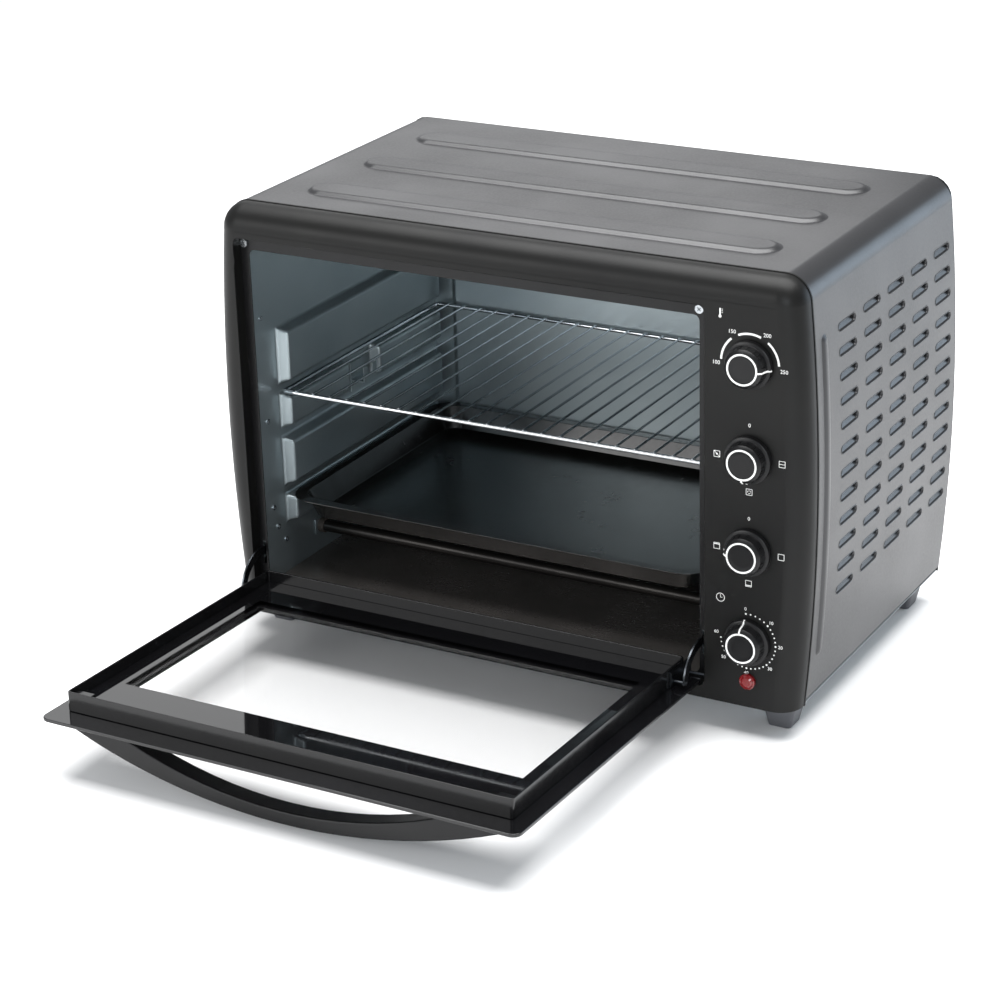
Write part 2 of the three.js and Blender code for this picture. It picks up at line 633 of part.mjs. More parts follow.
function cavityWalls() {
  const heaterHoles = heaterPlaces().map(([, y, z]) =>
    pinAlongX(-WIDTH, WIDTH, y, z, HEATER_RADIUS + 2 * GAP, 8));
  const left = mouth.left - GAP;
  const right = mouth.right + GAP;
  const bracketHole = pinAlongX(left - CUT, left + CUT, SPIT_Y,
    SPIT_LEVEL - BRACKET_SCREW_DROP, BRACKET_HOLE, 8);
  const driveHole = pinAlongX(right - CUT, right + CUT, SPIT_Y, SPIT_LEVEL,
    SOCKET_RADIUS + SOCKET_PLAY, 16);
  const fanHole = pinAlongX(right - CUT, right + CUT, FAN_Y, fanZ, FAN_HOLE, 12);
  const spit = { y: SPIT_Y, half: SPIT_RECESS, bottom: SPIT_LEVEL, top: SPIT_LEVEL };
  const fan = { y: FAN_Y, half: GUARD_RADIUS + FAN_CLEARANCE,
    bottom: fanZ - GUARD_RADIUS, top: fanZ + GUARD_RADIUS };
  const walls = [
    sideWall('cavity_left_wall', left, 1, [spit], [...heaterHoles, bracketHole]),
    sideWall('cavity_right_wall', right, -1, [spit, fan], [...heaterHoles, driveHole, fanHole]),
  ];
  const span = [left + GAP, right - GAP, wallFront, cavityBackY - GAP];
  const roof = box(...span, mouth.high + GAP, mouth.high + GAP + SHEET);
  const floor = box(...span, mouth.low - GAP - SHEET, mouth.low - GAP);
  const outline = [[left, mouth.low], [right, mouth.low], [right, mouth.high], [left, mouth.high]];
  const inset = (by) => outline.map(([x, z]) => [
    x + (x < 0 ? by : -by), z + (z < HEIGHT / 2 ? by : -by)]);
  const field = (by, back, front) => toSolid(facingFront(loft([
    atHeight(inset(BACK_PANEL_MARGIN + by), -back),
    atHeight(inset(BACK_PANEL_MARGIN + by + RUNNER_SLOPE), -front)])));
  const sheet = frontPlate(inset(-SHEET), cavityBackY, cavityBackY + SHEET);
  const back = sheet
    .add(field(0, cavityBackY + SHEET / 2, cavityBackY - BACK_PANEL_RISE))
    .subtract(field(SHEET, cavityBackY + 2 * SHEET, cavityBackY - BACK_PANEL_RISE + SHEET));
  walls.push(piece('cavity_roof', roof, 'aluminised'));
  walls.push(piece('cavity_floor', floor, 'aluminised'));
  walls.push(piece('cavity_back_wall', back, 'aluminised'));
  return walls;
}

function heaters() {
  const left = mouth.left - GAP;
  const right = mouth.right + GAP;
  return heaterPlaces().map(([name, y, z]) => {
    const collar = HEATER_RADIUS + HEATER_COLLAR.rise;
    const [tailLeft, tailRight] = [left - HEATER_TAIL, right + HEATER_TAIL];
    const [endLeft, endRight] = [left + HEATER_COLLAR.length, right - HEATER_COLLAR.length];
    const profile = [[0, tailLeft], [HEATER_RADIUS, tailLeft], [HEATER_RADIUS, left + GAP],
      [collar, left + GAP], [collar, endLeft], [HEATER_RADIUS, endLeft],
      [HEATER_RADIUS, endRight], [collar, endRight], [collar, right - GAP],
      [HEATER_RADIUS, right - GAP], [HEATER_RADIUS, tailRight], [0, tailRight]];
    return piece(name, turnedAlongX(profile, y, z, 10), 'steel');
  });
}

// ---------------------------------------------------------------- shelf and tray

function wireShelf() {
  const x0 = mouth.left - GAP + SHELF_SIDE_PLAY;
  const x1 = mouth.right + GAP - SHELF_SIDE_PLAY;
  const y0 = seamY + RUNNER_FRONT + SHELF_FRONT;
  const y1 = cavityBackY - BACK_PANEL_RISE - SHELF_REAR_PLAY;
  const rim = (half, inset) => plate(roundedRectangle(x0 + inset, x1 - inset, y0 + inset,
    y1 - inset, SHELF_CORNER - inset, 3), SHELF_LEVEL - half, SHELF_LEVEL + half);
  const frame = toSolid(rim(RIM_WIRE / 2, 0)).subtract(toSolid(rim(RIM_WIRE, RIM_WIRE - 0.5)));
  const count = Math.floor((x1 - x0 - 2 * RIM_WIRE) / WIRE_PITCH);
  const first = (x0 + x1) / 2 - (count - 1) * WIRE_PITCH / 2;
  const wires = Array.from({ length: count }, (_, i) => {
    const outline = arc(first + i * WIRE_PITCH, SHELF_LEVEL + WIRE / 2, WIRE / 2, 0, 300, 5);
    return frontPlate(outline, y0 + 1, y1 - 1);
  });
  return piece('wire_shelf', frame.add(union(wires)), 'chrome');
}

function bakingTray() {
  const x0 = mouth.left - GAP + TRAY_SIDE_PLAY;
  const x1 = mouth.right + GAP - TRAY_SIDE_PLAY;
  const y0 = seamY + RUNNER_FRONT - TRAY_OVERHANG;
  const y1 = cavityBackY - BACK_PANEL_RISE - TRAY_REAR_PLAY;
  const ring = (inset, z) => atHeight(roundedRectangle(x0 + inset, x1 - inset, y0 + inset,
    y1 - inset, TRAY_CORNER - inset * 0.6, 5), z);
  const under = TRAY_LEVEL - TRAY_SHEET;
  const rings = [ring(TRAY_RIM + TRAY_SLOPE, under - TRAY_DEPTH), ring(TRAY_RIM, under),
    ring(0, under), ring(0, TRAY_LEVEL), ring(TRAY_RIM + TRAY_SHEET, TRAY_LEVEL),
    ring(TRAY_RIM + TRAY_SLOPE + TRAY_SHEET, TRAY_LEVEL - TRAY_DEPTH)];
  return piece('baking_tray', toSolid(loft(rings)), 'enamel');
}

// ---------------------------------------------------------------- spit drive and fan

function spitParts() {
  const left = mouth.left - GAP;
  const right = mouth.right + GAP;
  const back = right + SHEET;
  const [y0, y1] = [SPIT_Y - BRACKET.half, SPIT_Y + BRACKET.half];
  const shelfZ = SPIT_LEVEL - BRACKET.shelf;
  const tip = left + BRACKET.reach;
  const hook = box(left + GAP, left + GAP + BRACKET.sheet, y0, y1,
    SPIT_LEVEL - BRACKET.foot, SPIT_LEVEL + BRACKET.top)
    .add(box(left + GAP, tip, y0, y1, shelfZ, shelfZ + BRACKET.sheet))
    .add(box(tip - BRACKET.sheet, tip, y0, y1, shelfZ, SPIT_LEVEL + BRACKET.lip))
    .subtract(box(tip - CUT, tip + CUT, SPIT_Y - BRACKET.notch, SPIT_Y + BRACKET.notch,
      SPIT_LEVEL - BRACKET.notch, SPIT_LEVEL + BRACKET.foot));
  const motorX = back + MOTOR_STAND_OFF;
  const motor = box(motorX, motorX + SPIT_MOTOR_DEPTH, SPIT_Y - MOTOR_SIZE / 2,
    SPIT_Y + MOTOR_SIZE / 2, SPIT_LEVEL - MOTOR_SIZE / 2, SPIT_LEVEL + MOTOR_SIZE / 2)
    .subtract(pinAlongX(right, motorX + 12, SPIT_Y, SPIT_LEVEL, SPINDLE + GAP));
  const mountingTabs = [-TAB.y, TAB.y].map((y) => box(back + GAP, motorX + 2,
    SPIT_Y + y - TAB.half, SPIT_Y + y + TAB.half, SPIT_LEVEL - TAB.half, SPIT_LEVEL + TAB.half));
  const mouthX = right - SOCKET_REACH;
  const socket = pinAlongX(mouthX, motorX - 2, SPIT_Y, SPIT_LEVEL, SOCKET_RADIUS, 16)
    .add(pinAlongX(right, motorX + 10, SPIT_Y, SPIT_LEVEL, SPINDLE))
    .subtract(box(mouthX - CUT, mouthX + SOCKET_DEPTH, SPIT_Y - SOCKET_SQUARE,
      SPIT_Y + SOCKET_SQUARE, SPIT_LEVEL - SOCKET_SQUARE, SPIT_LEVEL + SOCKET_SQUARE));
  return [piece('spit_support', hook, 'zinc'),
    piece('rotisserie_motor', union([motor, ...mountingTabs]), 'steel'),
    piece('spit_drive_socket', socket, 'zinc')];
}

// The pressed cup over the fan, with three rings of slots between its spokes.
function fanGuard(wall) {
  const guardX = wall - GUARD_DEPTH;
  const rim = wall - 1;
  const cup = [[0, guardX], [GUARD_RADIUS - 6, guardX], [GUARD_RADIUS - 2, rim],
    [GUARD_RADIUS + GUARD_LIP, rim], [GUARD_RADIUS + GUARD_LIP, wall],
    [GUARD_RADIUS - 3, wall], [GUARD_RADIUS - 7, guardX + 1], [0, guardX + 1]];
  const slots = GUARD_SLOTS.map((radius) => {
    const [inner, outer] = [radius - GUARD_SLOT_HALF, radius + GUARD_SLOT_HALF];
    const ring = turnedAlongX([[inner, guardX - CUT], [outer, guardX - CUT],
      [outer, guardX + CUT], [inner, guardX + CUT], [inner, guardX - CUT]], FAN_Y, fanZ, 24);
    const spokes = [0, 60, 120].map((turn) => {
      const bar = new THREE.BoxGeometry(4 * CUT, 2 * GUARD_RADIUS, (BLADES + radius / 4) / 3);
      return toSolid(bar.rotateX(THREE.MathUtils.degToRad(turn)).translate(guardX, FAN_Y, fanZ));
    });
    return ring.subtract(union(spokes));
  });
  return turnedAlongX(cup, FAN_Y, fanZ, 24).subtract(union(slots));
}

function fanParts() {
  const right = mouth.right + GAP;
  const back = right + SHEET;
  const guardX = right - GAP - GUARD_DEPTH;
  const motorX = back + MOTOR_STAND_OFF;
  const hub = pinAlongX(guardX + 3, right - 3, FAN_Y, fanZ, FAN_HUB)
    .add(pinAlongX(guardX + 4, motorX + 9, FAN_Y, fanZ, SHAFT_RADIUS))
    .add(pinAlongX(right - 4, right - 3, FAN_Y, fanZ, FAN_RADIUS - 8, 16));
  const blades = Array.from({ length: BLADES }, (_, i) => {
    const blade = new THREE.BoxGeometry(FAN_BLADE.width, FAN_RADIUS - 6, FAN_BLADE.sheet)
      .rotateY(BLADE_TWIST).translate(right - FAN_BLADE.wall, FAN_RADIUS / 2 + 3, 0);
    blade.rotateX(2 * Math.PI * i / BLADES);
    return toSolid(blade.translate(0, FAN_Y, fanZ));
  });
  const bore = SHAFT_RADIUS + GAP;
  const motorEnd = motorX + FAN_MOTOR.depth;
  const motor = [[0, motorX + 12], [bore, motorX + 12], [bore, back + GAP],
    [FAN_MOTOR.boss, back + GAP], [FAN_MOTOR.boss, motorX], [FAN_MOTOR.edge, motorX],
    [FAN_MOTOR.radius, motorX + FAN_MOTOR.chamfer],
    [FAN_MOTOR.radius, motorEnd - FAN_MOTOR.chamfer],
    [FAN_MOTOR.radius - FAN_MOTOR.chamfer, motorEnd], [0, motorEnd]];
  const bulbY = seamY + BULB.front;
  return [piece('fan_guard', fanGuard(right - GAP), 'aluminised'),
    piece('fan_wheel', union([hub, ...blades]), 'aluminised'),
    piece('fan_motor', turnedAlongX(motor, FAN_Y, fanZ, 16), 'steel'),
    piece('thermostat_bulb', pinToFront(bulbY, bulbY + BULB.length, right - BULB.wall,
      mouth.high - BULB.roof, BULB.radius, 10), 'brass')];
}

// ---------------------------------------------------------------- controls

// Each control from the top: its body's half width, half height and length.
const controls = [
  { knob: 'temperature', body: 'thermostat', size: [17, 14, 24], finish: 'steel' },
  { knob: 'function', body: 'function_switch', size: [19, 19, 26], finish: 'steel' },
  { knob: 'selector', body: 'selector_switch', size: [19, 19, 26], finish: 'steel' },
  { knob: 'timer', body: 'timer', size: [25, 25, 34], finish: 'brass' },
];

function controlParts() {
  const made = [];
  const bracketY = frontY + PLATE.setback;
  const bodyY = bracketY + PLATE.sheet + GAP;
  const low = BOTTOM_KNOB_LEVEL - PLATE.below;
  const high = HEIGHT - TOP_KNOB_DROP + PLATE.above;
  const edge = panelX - PLATE.left;
  const bore = SHAFT_RADIUS + SHAFT_CLEARANCE;
  const face = -frontY + KNOB_STAND_OFF;
  let bracket = box(edge, panelX + PLATE.right, bracketY, bracketY + PLATE.sheet, low, high)
    .add(box(edge - PLATE.sheet, edge, bracketY, bracketY + PLATE.fold, low, high));
  controls.forEach(({ knob, body, size: [halfX, halfZ, length], finish }, k) => {
    const z = knobZ(k);
    bracket = bracket.subtract(pinToFront(bracketY - CUT, bodyY + CUT, panelX, z, BUSHING + GAP));
    const block = box(panelX - halfX, panelX + halfX, bodyY, bodyY + length, z - halfZ, z + halfZ)
      .add(pinToFront(bracketY - BUSHING_REACH, bodyY + 2, panelX, z, BUSHING))
      .subtract(pinToFront(bracketY - CUT, bodyY + SHAFT_REACH + GAP, panelX, z, bore));
    made.push(piece(body, block, finish));
    const profile = [[0, face + KNOB_BORE_DEPTH], [bore, face + KNOB_BORE_DEPTH], [bore, face],
      [KNOB_RADIUS, face], [KNOB_RADIUS, face + 2.5], [KNOB_RADIUS - 2.4, face + 5],
      [KNOB_RADIUS - 3.4, face + KNOB_HEIGHT - 2.5], [KNOB_RADIUS - 5.5, face + KNOB_HEIGHT],
      [0, face + KNOB_HEIGHT]];
    made.push(piece(`knob_${knob}`, turnedToFront(profile, panelX, z, 24), 'plastic'));
    made.push(piece(`shaft_${knob}`, pinToFront(-face - KNOB_BORE_DEPTH + 1, bodyY + SHAFT_REACH,
      panelX, z, SHAFT_RADIUS), 'zinc'));
  });
  made.push(piece('control_bracket', bracket, 'steel'));
  const front = -frontY;
  const rim = LAMP_RADIUS + LAMP_RIM;
  const lens = [[0, front - CUT], [LAMP_RADIUS, front - CUT], [LAMP_RADIUS, front + GAP],
    [rim, front + GAP], [rim, front + 1.2], [LAMP_RADIUS - 1, front + 3],
    [LAMP_RADIUS - 3.5, front + 4], [0, front + 4]];
  made.push(piece('pilot_lamp_lens', turnedToFront(lens, panelX, LAMP_LEVEL, 12), 'lampRed'));
  const holder = pinToFront(frontY + CUT + GAP, frontY + LAMP_HOLDER, panelX, LAMP_LEVEL,
    LAMP_RADIUS - 0.5);
  made.push(piece('pilot_lamp_holder', holder, 'ceramic'));
  return made;
}

function inletParts() {
  const x = WIDTH / 2 - INLET_MARGIN;
  const inside = -rearY - GAP / 2;
  const seat = inside - REAR_SHEET - GAP;
  const end = seat - GLAND_HEAD;
  const profile = [[GLAND_BORE, end], [GLAND_RADIUS - GLAND_CHAMFER, end],
    [GLAND_RADIUS, seat - GLAND_CHAMFER], [GLAND_RADIUS, seat], [GLAND_NECK, seat],
    [GLAND_NECK, inside + GLAND_TAIL], [GLAND_BORE, inside + GLAND_TAIL], [GLAND_BORE, end]];
  const block = box(x - TERMINALS.left, x + TERMINALS.right, rearY - TERMINALS.back,
    rearY - TERMINALS.front, bottom + BASE_SHEET + GAP, bottom + TERMINALS.top);
  return [piece('cable_gland', turnedToFront(profile, x, GLAND_LEVEL, 16), 'rubber'),
    piece('terminal_block', block, 'ceramic')];
}

// ---------------------------------------------------------------- door

// The door is drawn lying level in its own frame: the hinge axis is its x axis, -y runs
// to the far edge and +z is the inner side.
function doorParts() {
  const far = -doorLength;
  const glassTop = -GLASS_DROP;
  const glassBottom = glassTop - GLASS;
  const frameBox = { x0: doorLeft + DOOR_FRAME_SIDE, x1: doorRight - DOOR_FRAME_RIGHT,
    y0: far + DOOR_FRAME_FAR, y1: -DOOR_FRAME_NEAR };
  const frameRing = (inset, radius) => roundedRectangle(frameBox.x0 + inset, frameBox.x1 - inset,
    frameBox.y0 + inset, frameBox.y1 - inset, radius, 2);
  const glass = toSolid(plate(roundedRectangle(doorLeft, doorRight, far, 0, GLASS_CORNER, 4),
    glassBottom, glassTop));
  const base = glassTop + GAP;
  const window = [frameBox.x0 + WINDOW_MARGIN_X, frameBox.x1 - WINDOW_MARGIN_X,
    frameBox.y0 + WINDOW_MARGIN_S, frameBox.y1 - WINDOW_MARGIN_S];
  const paneTop = DOOR_FRAME_HEIGHT - PANE_RECESS;
  const paneBottom = paneTop - PANE_THICKNESS;
  const inner = DOOR_FRAME_CORNER - DOOR_FRAME_WALL / 2;
  const frame = toSolid(plate(frameRing(0, DOOR_FRAME_CORNER), base, DOOR_FRAME_HEIGHT))
    .subtract(toSolid(plate(frameRing(DOOR_FRAME_WALL, inner), paneBottom - GAP,
      DOOR_FRAME_HEIGHT + CUT)))
    .subtract(box(...window, base - CUT, DOOR_FRAME_HEIGHT));
  const pane = toSolid(plate(frameRing(DOOR_FRAME_WALL + GAP, inner), paneBottom, paneTop));
  const made = [piece('door_outer_glass', glass, 'glass'), piece('door_frame', frame, 'plastic'),
    piece('door_inner_glass', pane, 'glass')];

  // the bow of the handle, drawn from the front of the open door with z downwards
  const middle = (doorLeft + doorRight) / 2;
  const half = (doorRight - doorLeft) / 2 - HANDLE_OVERHANG;
  const bow = (centre, reach, rise, steps) => {
    const radius = (reach ** 2 + rise ** 2) / (2 * rise);
    const spread = THREE.MathUtils.radToDeg(Math.asin(reach / radius));
    return arc(centre, glassBottom - GAP - rise + radius, radius, 270 - spread, 270 + spread, steps);
  };
  const outer = bow(middle, half, HANDLE_RISE, 24);
  const fingerGap = bow(middle, HANDLE_GAP_HALF, HANDLE_GAP_RISE, 18);
  const handleY = far + HANDLE_NEAR - HANDLE_DEPTH;
  const handle = frontPlate([...outer, ...fingerGap.reverse()], handleY, handleY + HANDLE_DEPTH);
  made.push(piece('door_handle', handle, 'plastic'));

  const sides = [['left', -1, frameBox.x0, arms[0], recess.left],
    ['right', 1, frameBox.x1, arms[1], recess.right]];
  for (const [side, sign, frameX, armX, recessX] of sides) {
    const spanX = (a, b) => [Math.min(a, b), Math.max(a, b)];
    const from = frameX + sign * GAP;
    const to = from + sign * STRAP_PLATE;
    const bracket = box(...spanX(from, to), -STRAP_PLATE_LENGTH, 0, base, STRAP_PLATE_HEIGHT)
      .add(box(...spanX(from, to), -HEEL, PIN_RADIUS + 1, base, HEEL))
      .add(pinAlongX(...spanX(from + sign * GAP, recessX + sign * PIN_REACH), 0, 0,
        PIN_RADIUS, 8));
    made.push(piece(`door_hinge_${side}`, bracket, 'zinc'));
    const inside = ARM_RADIUS - ARM_WIDTH / 2;
    const outside = ARM_RADIUS + ARM_WIDTH / 2;
    const strap = [...arc(0, 0, outside, 180 - ARM_START, 180 - ARM_END, 8),
      ...arc(0, 0, inside, 180 - ARM_END, 180 - ARM_START, 8)].reverse();
    const strapSolid = toSolid(alongX(
      plate(strap, armX - ARM_THICKNESS / 2, armX + ARM_THICKNESS / 2)));
    const [[rivetY, rivetZ]] = arc(0, 0, ARM_RADIUS, 180 - RIVET_ANGLE, 180, 1);
    const rivet = pinAlongX(...spanX(armX + sign * ARM_THICKNESS, to + sign * GAP),
      rivetY, rivetZ, RIVET_RADIUS, 10);
    made.push(piece(`door_arm_${side}`, strapSolid.add(rivet), 'zinc'));
    const cornerX = frameX - sign * (DOOR_FRAME_WALL + CLIP_PLAY);
    const corner = frameBox.y0 + DOOR_FRAME_WALL + CLIP_PLAY;
    const clip = box(...spanX(cornerX, cornerX - sign * CLIP.length), corner,
      corner + CLIP.width, paneTop + GAP, paneTop + CLIP.height)
      .subtract(box(...spanX(cornerX - sign * CLIP.notch, cornerX - sign * 2 * CLIP.notch),
        corner - CUT, corner + CLIP.notch, paneTop + CLIP.floor, paneTop + CLIP.height + CUT));
    made.push(piece(`door_clip_${side}`, clip, 'plastic'));
  }
  const door = new THREE.Group();
  door.add(...made);
  door.position.set(0, hinge.y, hinge.z);
  door.rotation.x = -THREE.MathUtils.degToRad(DOOR_TILT);
  return door;
}

// Small steel guides behind the front flange that the hinge arms slide through.
function armGuides() {
  return arms.map((x, i) => {
    const out = i ? 1 : -1;
    const edges = [x - out * GUIDE_INNER, x + out * GUIDE_OUTER].sort((a, b) => a - b);
    const slot = ARM_THICKNESS / 2 + 2 * GAP;
    const top = hinge.z + ARM_RADIUS + ARM_WIDTH / 2 + GUIDE_TOP;
    const guide = box(...edges, wallFront, wallFront + GUIDE_DEPTH, top - GUIDE_HEIGHT, top)
      .subtract(box(x - slot, x + slot, wallFront - CUT, wallFront + GUIDE_DEPTH + CUT,
        top - GUIDE_HEIGHT - CUT, top - GUIDE_TOP / 2));
    return piece(`arm_guide_${i ? 'right' : 'left'}`, guide, 'steel');
  });
}

// ---------------------------------------------------------------- assembly

const oven = new THREE.Group();
oven.add(
  outerCover(), rearCover(), basePan(), ...feet(), frontFascia(),
  frontFlange(), ...flangeScrews(), ...cavityWalls(), ...heaters(),
  wireShelf(), bakingTray(), ...spitParts(), ...fanParts(),
  ...controlParts(), ...inletParts(), doorParts(), ...armGuides(),
);
oven.updateMatrixWorld(true);
const size = new THREE.Box3().setFromObject(oven, true);
oven.position.set(0, -(size.min.y + size.max.y) / 2, 0);

export default oven;
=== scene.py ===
"""A countertop rotisserie oven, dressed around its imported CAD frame.

The frame gives every place and size. Each sub-assembly is a class that models its pieces
with Blender's own operators and dresses them in procedural finishes. Lengths are metres.
"""

import json
import logging
import math
from dataclasses import dataclass, field
from enum import Enum
from typing import Callable, Iterable

import bpy
from mathutils import Matrix, Vector


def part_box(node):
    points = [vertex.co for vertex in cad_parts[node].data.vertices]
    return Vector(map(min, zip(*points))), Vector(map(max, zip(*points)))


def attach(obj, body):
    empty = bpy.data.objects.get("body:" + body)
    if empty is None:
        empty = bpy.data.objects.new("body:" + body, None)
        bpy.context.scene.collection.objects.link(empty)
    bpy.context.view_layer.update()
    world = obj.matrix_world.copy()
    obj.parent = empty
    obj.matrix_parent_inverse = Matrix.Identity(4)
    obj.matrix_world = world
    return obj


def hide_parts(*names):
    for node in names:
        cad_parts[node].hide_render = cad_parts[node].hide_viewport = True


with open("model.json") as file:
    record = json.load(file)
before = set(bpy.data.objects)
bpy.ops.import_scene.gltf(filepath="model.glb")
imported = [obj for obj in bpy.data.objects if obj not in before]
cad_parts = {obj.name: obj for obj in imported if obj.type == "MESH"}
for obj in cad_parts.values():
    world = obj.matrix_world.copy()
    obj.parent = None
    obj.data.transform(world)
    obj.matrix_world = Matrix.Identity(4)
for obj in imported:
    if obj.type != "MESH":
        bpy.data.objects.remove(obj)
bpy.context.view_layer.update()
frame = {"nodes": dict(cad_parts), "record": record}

MM = 0.001
LOG = logging.getLogger("oven")
Point = tuple[float, float, float]


class Kind(Enum):
    """What an edit-mode selection picks."""

    VERT = "VERT"
    EDGE = "EDGE"
    FACE = "FACE"


class Body(Enum):
    """The bodies that modelled pieces ride on, as the frame names them."""

    ROOT = "root"
    DOOR = "door"
    SHELF = "shelf"
    TRAY = "tray"
    TEMPERATURE = "temperature_control"
    FUNCTION = "function_control"
    SELECTOR = "selector_control"
    TIMER = "timer_control"


# ------------------------------------------------------------------ modelling helpers


def centre(node: str) -> Vector:
    """Middle of a CAD node's box at rest."""
    low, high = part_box(node)
    return (Vector(low) + Vector(high)) / 2


def activate(piece: bpy.types.Object) -> None:
    """Leave edit mode and make the piece the only selected, active object."""
    if bpy.context.mode != "OBJECT":
        bpy.ops.object.mode_set(mode="OBJECT")
    bpy.ops.object.select_all(action="DESELECT")
    piece.select_set(True)
    bpy.context.view_layer.objects.active = piece


def pick(piece: bpy.types.Object, kind: Kind, test: Callable[..., bool]) -> None:
    """Select part of a mesh in edit mode.

    Args:
        piece: The mesh object, left in edit mode.
        kind: Vertices, edges or faces.
        test: Called with a vertex place, an edge's two end places, or a face's middle
            and normal. What it accepts is selected.
    """
    activate(piece)
    mesh = piece.data
    for items in (mesh.vertices, mesh.edges, mesh.polygons):
        items.foreach_set("select", [False] * len(items))
    places = [vertex.co for vertex in mesh.vertices]
    if kind is Kind.VERT:
        for vertex in mesh.vertices:
            vertex.select = test(vertex.co)
    elif kind is Kind.EDGE:
        for edge in mesh.edges:
            edge.select = test(places[edge.vertices[0]], places[edge.vertices[1]])
    else:
        for face in mesh.polygons:
            face.select = test(face.center, face.normal)
    bpy.context.tool_settings.mesh_select_mode = tuple(kind is each for each in Kind)
    bpy.ops.object.mode_set(mode="EDIT")


def add(kind: str, **settings: object) -> bpy.types.Object:
    """Add a mesh primitive from object mode.

    Args:
        kind: The primitive, such as "cube" or "circle".
        **settings: The operator's own settings.

    Returns:
        The new object.
    """
    if bpy.context.mode != "OBJECT":
        bpy.ops.object.mode_set(mode="OBJECT")
    getattr(bpy.ops.mesh, f"primitive_{kind}_add")(**settings)
    return bpy.context.object


def done(piece: bpy.types.Object, name: str) -> bpy.types.Object:
    """Bake a new primitive's place into its mesh and name it.

    Args:
        piece: The object that an operator has just added.
        name: The piece's name.

    Returns:
        The same object, at the origin, unturned and unscaled.
    """
    if bpy.context.mode != "OBJECT":
        bpy.ops.object.mode_set(mode="OBJECT")
    activate(piece)
    bpy.ops.object.transform_apply(location=True, rotation=True, scale=True)
    piece.name = name
    piece.data.name = name
    return piece


def cube(name: str, low: Iterable[float], high: Iterable[float]) -> bpy.types.Object:
    """A box between two corners, to be shaped further."""
    low, high = Vector(low), Vector(high)
    return done(add("cube", size=1, location=(low + high) / 2, scale=high - low), name)


def rod(name: str, start: Iterable[float], end: Iterable[float], radius: float,
        sides: int = 32) -> bpy.types.Object:
    """A round bar between two points, to be shaped further."""
    start, end = Vector(start), Vector(end)
    turn = (end - start).to_track_quat("Z", "Y").to_euler()
    return done(add("cylinder", vertices=sides, radius=radius, depth=(end - start).length,
                    location=(start + end) / 2, rotation=turn), name)


def apply_modifier(piece: bpy.types.Object, kind: str, **settings: object) -> None:
    """Add a modifier with its settings and apply it."""
    activate(piece)
    modifier = piece.modifiers.new(kind.lower(), kind)
    for key, value in settings.items():
        setattr(modifier, key, value)
    bpy.ops.object.modifier_apply(modifier=modifier.name)


def cut(piece: bpy.types.Object, *tools: bpy.types.Object, operation: str = "DIFFERENCE") -> None:
    """Join, cut or intersect the piece with tools, which are used up."""
    for tool in tools:
        apply_modifier(piece, "BOOLEAN", object=tool, operation=operation, solver="EXACT")
        bpy.data.objects.remove(tool)


def soften(piece: bpy.types.Object, width: float, segments: int = 3, angle: float = 40) -> None:
    """Round every edge sharper than an angle in degrees."""
    apply_modifier(piece, "BEVEL", width=width, segments=segments, limit_method="ANGLE",
                   angle_limit=math.radians(angle), harden_normals=False)


def smooth(piece: bpy.types.Object, angle: float = 38) -> None:
    """Shade smooth across edges flatter than an angle in degrees."""
    activate(piece)
    bpy.ops.object.shade_smooth_by_angle(angle=math.radians(angle))


def clone(piece: bpy.types.Object, place: Matrix, name: str) -> bpy.types.Object:
    """A copy of a piece with its own mesh, moved by a matrix inside that mesh."""
    twin = piece.copy()
    twin.data = piece.data.copy()
    twin.name = name
    bpy.context.collection.objects.link(twin)
    twin.data.transform(place)
    return twin


def join(name: str, pieces: list[bpy.types.Object]) -> bpy.types.Object:
    """Join several meshes into the first one and name it."""
    activate(pieces[0])
    for piece in pieces[1:]:
        piece.select_set(True)
    if len(pieces) > 1:
        bpy.ops.object.join()
    return done(bpy.context.object, name)


def merged_copy(node: str, name: str) -> bpy.types.Object:
    """A copy of a CAD node with its loose triangles welded and flat faces joined up."""
    piece = clone(frame["nodes"][node], Matrix.Identity(4), name)
    piece.parent = None
    for key in list(piece.keys()):
        del piece[key]
    piece.data.materials.clear()
    pick(piece, Kind.FACE, lambda middle, normal: True)
    bpy.ops.mesh.remove_doubles(threshold=0.01 * MM)
    bpy.ops.mesh.dissolve_limited(angle_limit=math.radians(0.3))
    return done(piece, name)


def dress(piece: bpy.types.Object, finish: "Finish", body: Body = Body.ROOT,
          stands_for: Iterable[str] = (), angle: float = 38) -> bpy.types.Object:
    """Give a finished piece its material, its body and the nodes it stands for.

    Args:
        piece: The modelled object.
        finish: The finish to wear.
        body: The body that carries it.
        stands_for: CAD nodes that it hides.
        angle: Edges flatter than this many degrees are shaded smooth.

    Returns:
        The same object.
    """
    smooth(piece, angle)
    apply_modifier(piece, "WEIGHTED_NORMAL", keep_sharp=True)
    piece.data.materials.clear()
    piece.data.materials.append(finish.material())
    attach(piece, body.value)
    if stands_for:
        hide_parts(*stands_for)
    LOG.info("%s: %d faces on %s", piece.name, len(piece.data.polygons), body.value)
    return piece


